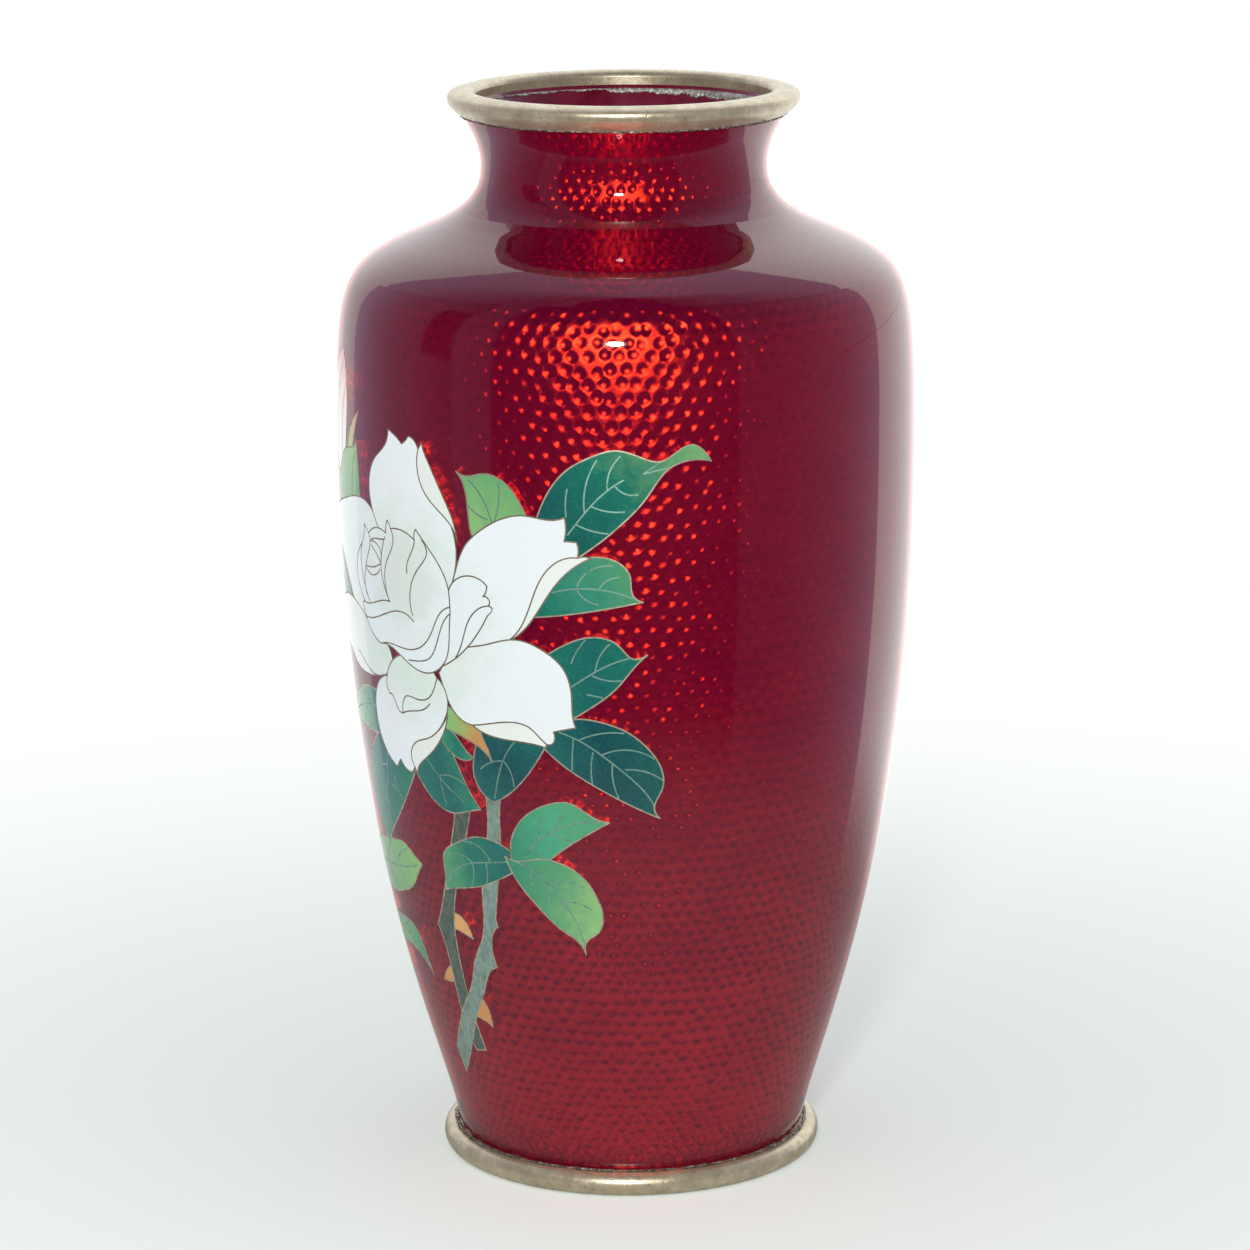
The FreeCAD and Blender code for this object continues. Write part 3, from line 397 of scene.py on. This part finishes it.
def ring_metal():
    """Nickel plating dulled to champagne, with pits and brown tarnish."""
    s = Shader("ring_metal")
    where = s.place()
    clouds = s.noise(where, 320, 5, 0.75, 0.3)
    fine = s.noise(where, 1400, 5, 0.7)
    stops = [(0.25, colour(160, 148, 122)), (0.5, colour(188, 176, 148)), (0.75, colour(214, 204, 178))]
    tint = s.ramp(clouds, stops)
    pits = s.ranged(s.cells(where, 800), 0.05, 0.16)
    specks = s.ranged(fine, 0.60, 0.68)
    tint = s.mix(pits, colour(134, 120, 94), tint)
    tint = s.mix(s.calc("MULTIPLY", specks, 0.4), tint, colour(144, 130, 104))
    rough = s.ranged(fine, 0.3, 0.7, 0.26, 0.44)
    hollows = s.bump(pits, 0.05 * MM, 0.6, s.bump(fine, 0.05 * MM, 0.5))
    return s.principled(Base_Color=tint, Metallic=0.55, Roughness=rough, Normal=hollows)


def solder_metal(name, hollow, middle, crest):
    """Crumbly solder: dark in the hollows and bright on the crests."""
    s = Shader(name)
    where = s.place()
    lumps = s.noise(where, 1300, 5, 0.75)
    tint = s.ramp(lumps, [(0.34, hollow), (0.5, middle), (0.66, crest)])
    return s.principled(Base_Color=tint, Metallic=0.6, Roughness=s.ranged(lumps, 0.3, 0.7, 0.7, 0.35),
                        Normal=s.bump(lumps, 0.25 * MM, 0.9))


def copper_metal():
    """Bare spun copper with faint turning lines and brown oxide."""
    s = Shader("copper")
    where = s.place()
    oxide = s.noise(where, 130, 5, 0.65)
    height = s.parts_of(where)[2]
    lines = s.calc("SINE", s.calc("MULTIPLY", height, 2 * math.pi / (0.35 * MM)))
    tint = s.mix(s.ranged(oxide, 0.35, 0.7), colour(206, 142, 112), colour(122, 74, 54))
    return s.principled(Base_Color=tint, Metallic=1.0, Roughness=s.ranged(oxide, 0.3, 0.7, 0.3, 0.5),
                        Normal=s.bump(lines, 0.004 * MM, 0.5))


# ---------------------------------------------------------------- meshes

def closed_skin(name, points):
    """A smooth mesh of quads through points[row][column], closed both ways."""
    rows, columns = points.shape[:2]
    here = np.arange(rows * columns).reshape(rows, columns)
    right = np.roll(here, -1, axis=1)
    quads = np.stack([here, right, np.roll(right, -1, axis=0), np.roll(here, -1, axis=0)], axis=-1)
    mesh = bpy.data.meshes.new(name)
    mesh.from_pydata(points.reshape(-1, 3), [], quads.reshape(-1, 4))
    mesh.shade_smooth()
    obj = bpy.data.objects.new(name, mesh)
    bpy.context.scene.collection.objects.link(obj)
    return obj


def skin_profile(node, side):
    """Height and radius up the outer (side 1) or inner (side -1) face of a packed skin."""
    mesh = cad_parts[node].data
    points = np.empty(len(mesh.vertices) * 3)
    normals = np.empty(len(mesh.vertices) * 3)
    mesh.vertices.foreach_get("co", points)
    mesh.vertices.foreach_get("normal", normals)
    points = points.reshape(-1, 3)
    normals = normals.reshape(-1, 3)
    radius = np.hypot(points[:, 0], points[:, 1])
    height = points[:, 2]
    outwards = side * (points[:, 0] * normals[:, 0] + points[:, 1] * normals[:, 1]) / radius
    margin = np.minimum(height - height.min(), height.max() - height)
    chosen = outwards > np.where(margin < 1.5 * MM, 0.6, 0.1)
    levels, where = np.unique(np.round(height[chosen], 5), return_inverse=True)
    radii = np.bincount(where, radius[chosen]) / np.bincount(where)
    return levels, radii


def even_steps(levels, radii, step):
    """The same profile in even steps of its length: (length, height, radius, outward normal)."""
    fine = np.linspace(levels[0], levels[-1], 4000)
    curve = np.interp(fine, levels, radii)
    window = np.hanning(41) / np.hanning(41).sum()
    soft = np.convolve(np.pad(curve, 20, mode="reflect", reflect_type="odd"), window, "valid")
    length = np.concatenate([[0], np.cumsum(np.hypot(np.diff(fine), np.diff(soft)))])
    even = np.linspace(0, length[-1], int(length[-1] / step) + 1)
    height = np.interp(even, length, fine)
    radius = np.interp(even, length, soft)
    rise = np.gradient(height, even)
    widen = np.gradient(radius, even)
    return even, height, radius, np.stack([rise, -widen], axis=1)


def pit_rows(length, height, radius):
    """Rows of pit centres up the profile: (place along it, radius there, angles of the pits, pit radius)."""
    rows = []
    place = 1.2 * MM
    shift = 0.0
    while place < length[-1] - 0.9 * MM:
        here = max(np.interp(place, length, height), PIT_BANDS[0][0])
        count, share = [band[1:] for band in PIT_BANDS if here >= band[0]][-1]
        around = np.interp(place, length, radius)
        centres = (np.arange(count) + shift) * 2 * math.pi / count
        rows.append((place, around, centres, share * 2 * math.pi * around / count))
        place += 2 * math.pi * around / count * math.sqrt(3) / 2
        shift = 0.5 - shift
    return rows


def pit_field(length, height, radius, angles):
    """Depth of the hammered pits, from 0 to 1, at every profile step and angle."""
    field = np.zeros((len(length), len(angles)))
    for place, around, centres, width in pit_rows(length, height, radius):
        count = len(centres)
        pitch = 2 * math.pi * around / count
        along = place + RANDOM.normal(0, PIT_JITTER * pitch, count)
        turned = centres + RANDOM.normal(0, PIT_JITTER * pitch / around, count)
        strength = RANDOM.uniform(0.6, 1.1, count)
        near = np.nonzero(np.abs(length - place) < 1.6 * pitch)[0]
        nearest = np.round((angles - centres[0]) * count / (2 * math.pi)).astype(int)
        for neighbour in (-1, 0, 1):
            pit = (nearest + neighbour) % count
            aside = np.angle(np.exp(1j * (angles - turned[pit]))) * around
            upwards = length[near][:, None] - along[pit][None, :]
            gap = (aside[None, :] ** 2 + upwards ** 2) / width ** 2
            field[near] = np.maximum(field[near], strength[pit][None, :] * (1 - gap))
    return field


def skin_points(height, radius, normal, sunk, angles):
    """Points round the axis, each sunk below the profile along its normal."""
    across = radius[:, None] - sunk * normal[:, :1]
    up = height[:, None] - sunk * normal[:, 1:]
    return np.stack([across * np.cos(angles), across * np.sin(angles), up * np.ones_like(angles)], axis=-1)


def grid_normals(points):
    """Unit normals of a grid that is closed round its columns."""
    aside = np.roll(points, -1, axis=1) - np.roll(points, 1, axis=1)
    normals = np.cross(aside, np.gradient(points, axis=0))
    return normals / np.linalg.norm(normals, axis=-1, keepdims=True)


def hammered_foil():
    """The foil as a closed skin: rows of hammered pits outside, smooth inside.

    Its shading normals are steeper than its mesh: PIT_SLOPE_GAIN and LOW_SLOPE_GAIN say by how much.
    """
    angles = np.arange(FOIL_COLUMNS) * 2 * math.pi / FOIL_COLUMNS
    length, height, radius, normal = even_steps(*skin_profile("silver_foil", 1), FOIL_ROW)
    field = pit_field(length, height, radius, angles)
    outer = skin_points(height, radius, normal, field * PIT_DEPTH, angles)
    gain = np.interp(height, [35 * MM, 60 * MM], [LOW_SLOPE_GAIN, PIT_SLOPE_GAIN])
    steeper = skin_points(height, radius, normal, field * PIT_DEPTH * gain[:, None], angles)
    inner_line = even_steps(*skin_profile("silver_foil", -1), length[-1] / FOIL_INNER_ROWS)
    inner = skin_points(*inner_line[1:], np.zeros((len(inner_line[0]), 1)), angles)[::-1]
    points = np.concatenate([outer, inner])
    foil = closed_skin("hammered_silver_foil", points)
    normals = np.concatenate([grid_normals(steeper), grid_normals(inner)])
    foil.data.normals_split_custom_set_from_vertices(normals.reshape(-1, 3))
    # Painted shade mask: the lower rim of each pit, where its depth grows going up, for the shader to
    # darken.
    painted_rim_shades = np.zeros(points.shape[:2])
    painted_rim_shades[:len(outer)] = np.clip(RIM_SHADE * np.gradient(field, axis=0), 0, 1)
    painted_rim_shade = foil.data.attributes.new("painted_rim_shade", "FLOAT", "POINT")
    painted_rim_shade.data.foreach_set("value", painted_rim_shades.ravel())
    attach(foil, "root")
    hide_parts("silver_foil")
    return dressed(foil, foil_metal())


def smooth_wander(count, coarse, spread):
    """Random values round a circle, joined smoothly from coarse steps."""
    knots = RANDOM.normal(0, spread, coarse)
    knots = np.append(knots, knots[0])
    return np.interp(np.arange(count) / count, np.linspace(0, 1, coarse + 1), knots)


def ragged_loop(radius, height, across, up, count, lumps, sides=8):
    """Points of a crumbly bead round the axis: its section swells, shrinks and wanders as it goes."""
    angles = np.arange(count) * 2 * math.pi / count
    swell = 1 + sum(smooth_wander(count, steps, lumps / 3) for steps in (60, 150, 340))
    swell = np.clip(swell, 0.25, 1.9)
    drift = smooth_wander(count, 90, 0.12) + smooth_wander(count, 260, 0.1)
    loops = []
    for side in range(sides):
        turn = 2 * math.pi * side / sides
        grain = 1 + RANDOM.normal(0, 0.12, count)
        r = radius + across * (swell * grain * math.cos(turn) + drift)
        z = height + up * (swell * grain * math.sin(turn) + drift)
        loops.append(np.stack([r * np.cos(angles), r * np.sin(angles), z], axis=-1))
    return np.array(loops)


def crumbly_seam(name, node, radius, height, across, up, lumps):
    """A solder seam that stands for a packed one."""
    seam = closed_skin(name, ragged_loop(radius, height, across, up, SEAM_COLUMNS, lumps))
    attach(seam, "root")
    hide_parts(node)
    grey = solder_metal(name, colour(52, 44, 40), colour(112, 102, 90), colour(214, 210, 198))
    return dressed(seam, grey)


def solder_seams():
    """The seams at both rings, set out from the rings' own boxes."""
    foot_low, foot_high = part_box("foot_solder")
    mouth_low, mouth_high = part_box("mouth_solder")
    crumbly_seam("foot_solder_seam", "foot_solder", foot_high.x - 0.75 * MM, foot_low.z + 0.2 * MM,
                 0.34 * MM, 0.17 * MM, 0.8)
    crumbly_seam("mouth_solder_seam", "mouth_solder", mouth_high.x - 0.45 * MM, mouth_low.z + 0.6 * MM,
                 0.20 * MM, 0.15 * MM, 0.7)


def chipped_band():
    """Ragged silvery edge inside the mouth, where the lining enamel has flaked under the ring."""
    levels, radii = skin_profile("lining_enamel", -1)
    count = BAND_COLUMNS
    angles = np.arange(count) * 2 * math.pi / count
    drop = 0.6 + smooth_wander(count, 26, 0.3) + smooth_wander(count, 110, 0.2)
    drop = drop + smooth_wander(count, 380, 0.1)
    worn = 0.5 + 0.5 * np.cos(angles - BAND_WORN_SIDE)
    drop = np.clip(drop * (0.35 + 0.95 * worn ** 2), 0.12, 1.7) * MM
    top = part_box("mouth_ring")[1].z - BAND_BELOW_TOP
    loops = []
    section = ((0.0, -0.2), (0.4, -0.22), (0.8, -0.18), (1.0, -0.05), (1.0, 0.15), (0.5, 0.25), (0.0, 0.25))
    for share, out in section:
        rough = RANDOM.normal(0, 0.03 * MM, count)
        z = top - share * drop + rough
        r = np.interp(z, levels, radii) + out * MM + rough
        loops.append(np.stack([r * np.cos(angles), r * np.sin(angles), z], axis=-1))
    band = closed_skin("chipped_lip_band", np.array(loops))
    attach(band, "root")
    silvery = solder_metal("chipped_band", colour(96, 88, 80), colour(176, 170, 158), colour(236, 236, 230))
    return dressed(band, silvery)


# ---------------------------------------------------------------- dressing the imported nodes

DARK_TEAL = colour(20, 72, 78)
DEEP_TEAL = colour(26, 88, 84)
TEAL = colour(30, 112, 96)
BLUE_TEAL = colour(30, 98, 94)
GREEN = colour(54, 136, 106)
FRESH_GREEN = colour(84, 152, 108)
LIGHT_GREEN = colour(120, 172, 112)
PALE_GREEN = colour(138, 184, 118)
WHITE = colour(230, 236, 239)
COOL_SHADE = colour(206, 222, 208)
WARM_SHADE = colour(216, 220, 206)


def leaf_looks():
    """Each leaf's own shading: base, middle and tip colours, and which way they run."""
    return {
        "leaf_curled": leaf_enamel("leaf_curled", DEEP_TEAL, TEAL, LIGHT_GREEN, 0.7, 0.35, -0.12),
        "leaf_right_high": leaf_enamel("leaf_right_high", TEAL, colour(54, 134, 112), FRESH_GREEN, 0.8, 0.2),
        "leaf_right_middle": leaf_enamel("leaf_right_middle", TEAL, BLUE_TEAL, TEAL, 1.0, 0.0),
        "leaf_right_low": leaf_enamel("leaf_right_low", BLUE_TEAL, DARK_TEAL, DEEP_TEAL, 0.9, 0.0),
        "leaf_centre": leaf_enamel("leaf_centre", BLUE_TEAL, DARK_TEAL, BLUE_TEAL, 0.5, 0.5),
        "leaf_light_top": leaf_enamel("leaf_light_top", PALE_GREEN, LIGHT_GREEN, FRESH_GREEN, 0.3, 0.6),
        "leaf_stem_top": leaf_enamel("leaf_stem_top", GREEN, colour(74, 160, 122), FRESH_GREEN, 0.9, 0.1),
        "leaf_stem_right": leaf_enamel("leaf_stem_right", GREEN, FRESH_GREEN, PALE_GREEN, 0.9, -0.3, 0.2),
        "leaf_stem_left": leaf_enamel("leaf_stem_left", FRESH_GREEN, TEAL, BLUE_TEAL, 1.0, 0.0),
        "leaf_small": leaf_enamel("leaf_small", GREEN, TEAL, GREEN, 1.0, 0.0),
        "leaf_below_flower": leaf_enamel("leaf_below_flower", TEAL, BLUE_TEAL, GREEN, 0.8, 0.2),
        "leaf_pale_left": leaf_enamel("leaf_pale_left", GREEN, FRESH_GREEN, TEAL, 1.0, 0.0),
        "leaf_left_middle": leaf_enamel("leaf_left_middle", GREEN, TEAL, BLUE_TEAL, 1.0, 0.0),
        "leaf_left_large": leaf_enamel("leaf_left_large", BLUE_TEAL, TEAL, GREEN, 0.5, -0.5, 0.5),
        "leaf_left_light": leaf_enamel("leaf_left_light", FRESH_GREEN, LIGHT_GREEN, PALE_GREEN, 1.0, 0.0),
        "leaf_left_foot": leaf_enamel("leaf_left_foot", FRESH_GREEN, LIGHT_GREEN, GREEN, 1.0, 0.0),
        "bud_calyx": leaf_enamel("bud_calyx", FRESH_GREEN, LIGHT_GREEN, PALE_GREEN, 0.3, 0.6),
    }


def petal_looks():
    """Petal enamels: the outer petals shade only near the heart, the heart itself shades all over."""
    outer = petal_enamel("petal_enamel", WHITE, COOL_SHADE, 102 * MM, 24 * MM, 0.75)
    edges = petal_enamel("petal_edge_enamel", colour(230, 235, 232), WARM_SHADE, 102 * MM, 34 * MM, 0.6)
    heart_white, heart_shade = colour(226, 234, 236), colour(208, 218, 208)
    heart = petal_enamel("heart_enamel", heart_white, heart_shade, 109 * MM, 13 * MM, 0.7)
    looks = {"heart_petals": heart, "inner_petal_right": heart, "bud_petals": bud_petal_enamel()}
    for name in ("bottom", "right_lower", "right_upper", "left_lower", "left_upper", "top", "bottom_curl"):
        looks["petal_" + name] = outer
    for name in ("bottom_edge", "right_lower_edge", "right_upper_edge", "top_edge"):
        looks["petal_" + name] = edges
    return looks


def stem_looks():
    """Stems, thorns and sepals: bark-like greys, and ochre where they taper."""
    grey = stem_enamel("stem_enamel", colour(104, 130, 126), colour(138, 154, 142), colour(96, 112, 92))
    dark = stem_enamel("dark_stem_enamel", colour(62, 80, 76), colour(92, 100, 88), colour(60, 74, 56))
    return {
        "main_stem": grey,
        "side_stem": grey,
        "rear_stem": dark,
        "thorns": ochre_enamel("thorns", colour(196, 138, 84), colour(214, 160, 104)),
        "bud_sepal": ochre_enamel("bud_sepal", colour(170, 176, 120), colour(206, 150, 120)),
        "flower_sepal": sepal_enamel(),
    }


def metal_looks():
    """Wires, rings and copper. The solders and the foil have pieces of their own instead."""
    brown = wire_metal("brown_wire", colour(172, 156, 130), colour(122, 106, 86))
    pale = wire_metal("pale_wire", colour(214, 204, 180), colour(150, 136, 110))
    silver = wire_metal("silver_wire", colour(160, 196, 180), colour(98, 140, 124))
    ring = ring_metal()
    copper = copper_metal()
    return {
        "petal_wires": brown, "heart_wires": brown, "bud_wires": brown,
        "leaf_outline_wires": pale, "stem_wires": pale, "leaf_vein_wires": silver,
        "mouth_ring": ring, "foot_ring": ring,
        "copper_body": copper, "base_plate": copper,
    }


def dress_nodes():
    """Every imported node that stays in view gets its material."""
    lining = lining_enamel()
    looks = {"ground_enamel": red_glass(), "lining_enamel": lining, "base_enamel": lining}
    for group in (leaf_looks(), petal_looks(), stem_looks(), metal_looks()):
        looks.update(group)
    for node, material in looks.items():
        dressed(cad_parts[node], material)


# ---------------------------------------------------------------- stage

def room_seen(s):
    """What polished surfaces see: a dark room all round the camera, a white backdrop behind the vase.

    It is laid out in the camera's own directions, so it turns with the camera and is the same in every view.
    """
    tilt = s.node("ShaderNodeVectorRotate", {"Vector": s.place("Camera"), "Angle": CAMERA_PITCH},
                  rotation_type="X_AXIS").outputs[0]
    right, up, ahead = s.parts_of(tilt)
    degrees = 180 / math.pi
    turn = s.calc("MULTIPLY", s.calc("ARCTAN2", right, s.calc("MULTIPLY", ahead, -1.0)), degrees)
    behind = s.calc("MULTIPLY", s.calc("ARCTAN2", right, ahead), degrees)
    lift = s.calc("MULTIPLY", s.calc("ARCSINE", up), degrees)

    slanted = s.calc("MAXIMUM", s.calc("ADD", lift, s.calc("MULTIPLY", behind, 0.1)), 0.0)
    off_middle = s.calc("SUBTRACT", behind, BACKDROP_MIDDLE)
    aside = s.calc("ABSOLUTE", s.calc("DIVIDE", off_middle, BACKDROP_HALF_WIDTH))
    upwards = s.calc("DIVIDE", slanted, BACKDROP_TOP)
    outline = s.calc("ADD", s.calc("POWER", aside, 3.0), s.calc("POWER", upwards, 3.0))
    across = s.ranged(behind, -45, 45, 1.35, 1.95, True)
    backdrop = s.calc("MULTIPLY", across, s.ranged(lift, 5, 35, 0.9, 1.12))

    right_far = s.calc("POWER", s.ranged(turn, RIGHT_WALL, RIGHT_WALL + 75), 2.0)
    right_step = s.ranged(turn, RIGHT_WALL - 1, RIGHT_WALL + 1, 0, 0.12)
    right_wall = s.calc("MULTIPLY_ADD", right_far, 0.72, right_step)
    left_far = s.calc("POWER", s.ranged(turn, LEFT_WALL + 1, LEFT_WALL - 79), 1.5)
    left_step = s.ranged(turn, LEFT_WALL + 1, LEFT_WALL - 1, 0, 0.05)
    left_wall = s.calc("MULTIPLY_ADD", left_far, 0.70, left_step)
    panel_start = s.ranged(turn, LEFT_WALL, LEFT_WALL - 2, 0, 0.12)
    panel = s.calc("MULTIPLY", panel_start, s.ranged(turn, PANEL_END - 1, PANEL_END + 1))
    wedge_span = s.calc("MULTIPLY", s.ranged(turn, PANEL_END, PANEL_END - 2),
                        s.ranged(turn, WEDGE_END - 1, WEDGE_END + 1))
    wedge_rise = s.calc("MULTIPLY", s.ranged(lift, 0, 2), s.ranged(lift, WEDGE_TOP + 1, WEDGE_TOP - 2))
    wedge = s.calc("MULTIPLY", wedge_span, wedge_rise)
    left_wall = s.calc("MULTIPLY", left_wall, s.ranged(wedge, 0, 1, 1, 0.15))
    room = s.calc("ADD", s.calc("ADD", right_wall, left_wall), s.calc("ADD", panel, ROOM_LEVEL))
    bluish = s.mix(1.0, s.grey(room), (0.95, 0.93, 1.25, 1), "MULTIPLY")
    seen = s.mix(s.ranged(outline, 0.97, 1.03), s.grey(backdrop), bluish)
    return turn, lift, seen


def room_light():
    """Even white surroundings for the camera and for matt surfaces; polished ones see the room instead."""
    world = bpy.data.worlds.new("studio")
    world.use_nodes = True
    bpy.context.scene.world = world
    world.cycles.sampling_method = "NONE"
    s = Shader("studio", world.node_tree)
    turn, lift, seen = room_seen(s)
    path = s.node("ShaderNodeLightPath").outputs
    through_floor = s.calc("LESS_THAN", lift, -0.1)
    through_glass = s.ranged(s.calc("SUBTRACT", path["Transparent Depth"], through_floor), 0.5, 1.5)
    side_light = s.ranged(turn, -60, 130, 0.12, 0.22, True)
    under_glass = s.grey(s.calc("MULTIPLY", side_light, s.ranged(lift, 12, 45, 1, 0.15)))
    seen = s.mix(through_glass, seen, under_glass)
    level = s.mix(path["Is Glossy Ray"], s.mix(path["Is Camera Ray"], s.grey(0.62), s.grey(1.02)), seen)
    light = s.node("ShaderNodeBackground", {"Color": s.mix(1.0, level, (0.98, 1.0, 0.995, 1), "MULTIPLY")})
    s.node("ShaderNodeOutputWorld", {"Surface": light.outputs[0]})


def floor_finish():
    """Pale seamless floor that fades into the surroundings; polished surfaces see only its near part."""
    s = Shader("floor")
    where = s.place()
    away = s.vector("LENGTH", where)
    matte = s.node("ShaderNodeBsdfDiffuse", {"Color": (0.88, 0.93, 0.91, 1)}).outputs[0]
    lift = s.node("ShaderNodeEmission", {"Color": (0.90, 0.95, 0.93, 1), "Strength": 0.2}).outputs[0]
    matte = s.node("ShaderNodeAddShader", {0: matte, 1: lift}).outputs[0]
    haze = s.node("ShaderNodeEmission", {"Color": (0.98, 1.0, 0.995, 1), "Strength": 1.02}).outputs[0]
    faded = s.blend(s.ranged(away, 0.07, 0.34, 0, 1, True), matte, haze)
    path = s.node("ShaderNodeLightPath").outputs
    shiny = path["Is Glossy Ray"]
    # Shiny rays see the near floor blended towards black: painted shade in its reflections, by 45 % for rays
    # that reach it straight and by 30 to 62 % for rays that came through the glass.
    dark = s.node("ShaderNodeEmission", {"Color": (0, 0, 0, 1)}).outputs[0]
    under_glass = s.ranged(away, 0.05, 0.10, 0.30, 0.62)
    through_glass = s.ranged(path["Transparent Depth"], 0.5, 1.5)
    mixed = s.node("ShaderNodeMix", {0: through_glass, 2: 0.45, 3: under_glass})
    faded = s.blend(s.calc("MULTIPLY", shiny, mixed.outputs[0]), faded, dark)
    gone = s.node("ShaderNodeBsdfTransparent", {"Color": (1, 1, 1, 1)}).outputs[0]
    far = s.calc("MULTIPLY", shiny, s.ranged(away, 0.12, 0.26, 0, 1, True))
    material = s.finish(s.blend(far, faded, gone))
    material.cycles.emission_sampling = "NONE"
    return material


def lay_floor():
    """A wide flat disc for the floor."""
    angles = [step * 2 * math.pi / FLOOR_SIDES for step in range(FLOOR_SIDES)]
    around = [(FLOOR_RADIUS * math.cos(angle), FLOOR_RADIUS * math.sin(angle), 0) for angle in angles]
    mesh = bpy.data.meshes.new("floor")
    mesh.from_pydata(around, [], [tuple(range(FLOOR_SIDES))])
    mesh.materials.append(floor_finish())
    floor = bpy.data.objects.new("floor", mesh)
    bpy.context.scene.collection.objects.link(floor)


def add_flash(camera, name, watts, lights_matt):
    """A flash window above and left of the lens, which follows the camera."""
    lamp = bpy.data.lights.new(name, "AREA")
    lamp.shape = "ELLIPSE"
    lamp.size, lamp.size_y = FLASH_SIZE
    lamp.energy = watts
    flash = bpy.data.objects.new(name, lamp)
    bpy.context.scene.collection.objects.link(flash)
    flash.parent = camera
    flash.location = FLASH_PLACE
    flash.rotation_euler = FLASH_TILT
    flash.visible_diffuse = lights_matt


def set_camera():
    """The main camera, with a flash beside its lens and a second one that only shiny surfaces see."""
    camera = bpy.data.objects.new("camera", bpy.data.cameras.new("camera"))
    bpy.context.scene.collection.objects.link(camera)
    bpy.context.scene.camera = camera
    camera.data.sensor_width = 36
    camera.data.lens = CAMERA_LENS
    camera.data.shift_x = CAMERA_SHIFT
    camera.data.clip_start = 0.01
    sideways = Vector((math.sin(CAMERA_AZIMUTH), -math.cos(CAMERA_AZIMUTH), 0))
    camera.location = sideways * CAMERA_DISTANCE + Vector((0, 0, CAMERA_HEIGHT))
    looking = -sideways * math.cos(CAMERA_PITCH) - Vector((0, 0, math.sin(CAMERA_PITCH)))
    camera.rotation_mode = "QUATERNION"
    camera.rotation_quaternion = looking.to_track_quat("-Z", "Y") @ Quaternion((0, 0, 1), -CAMERA_ROLL)
    add_flash(camera, "flash", FLASH_WATTS, True)
    add_flash(camera, "flash_glint", GLINT_WATTS, False)


def settings():
    """Colours are shown as they are, with no film look."""
    scene = bpy.context.scene
    scene.view_settings.view_transform = "Standard"
    scene.view_settings.look = "None"


# ---------------------------------------------------------------- build

settings()
dress_nodes()
hammered_foil()
solder_seams()
chipped_band()
lay_floor()
room_light()
set_camera()
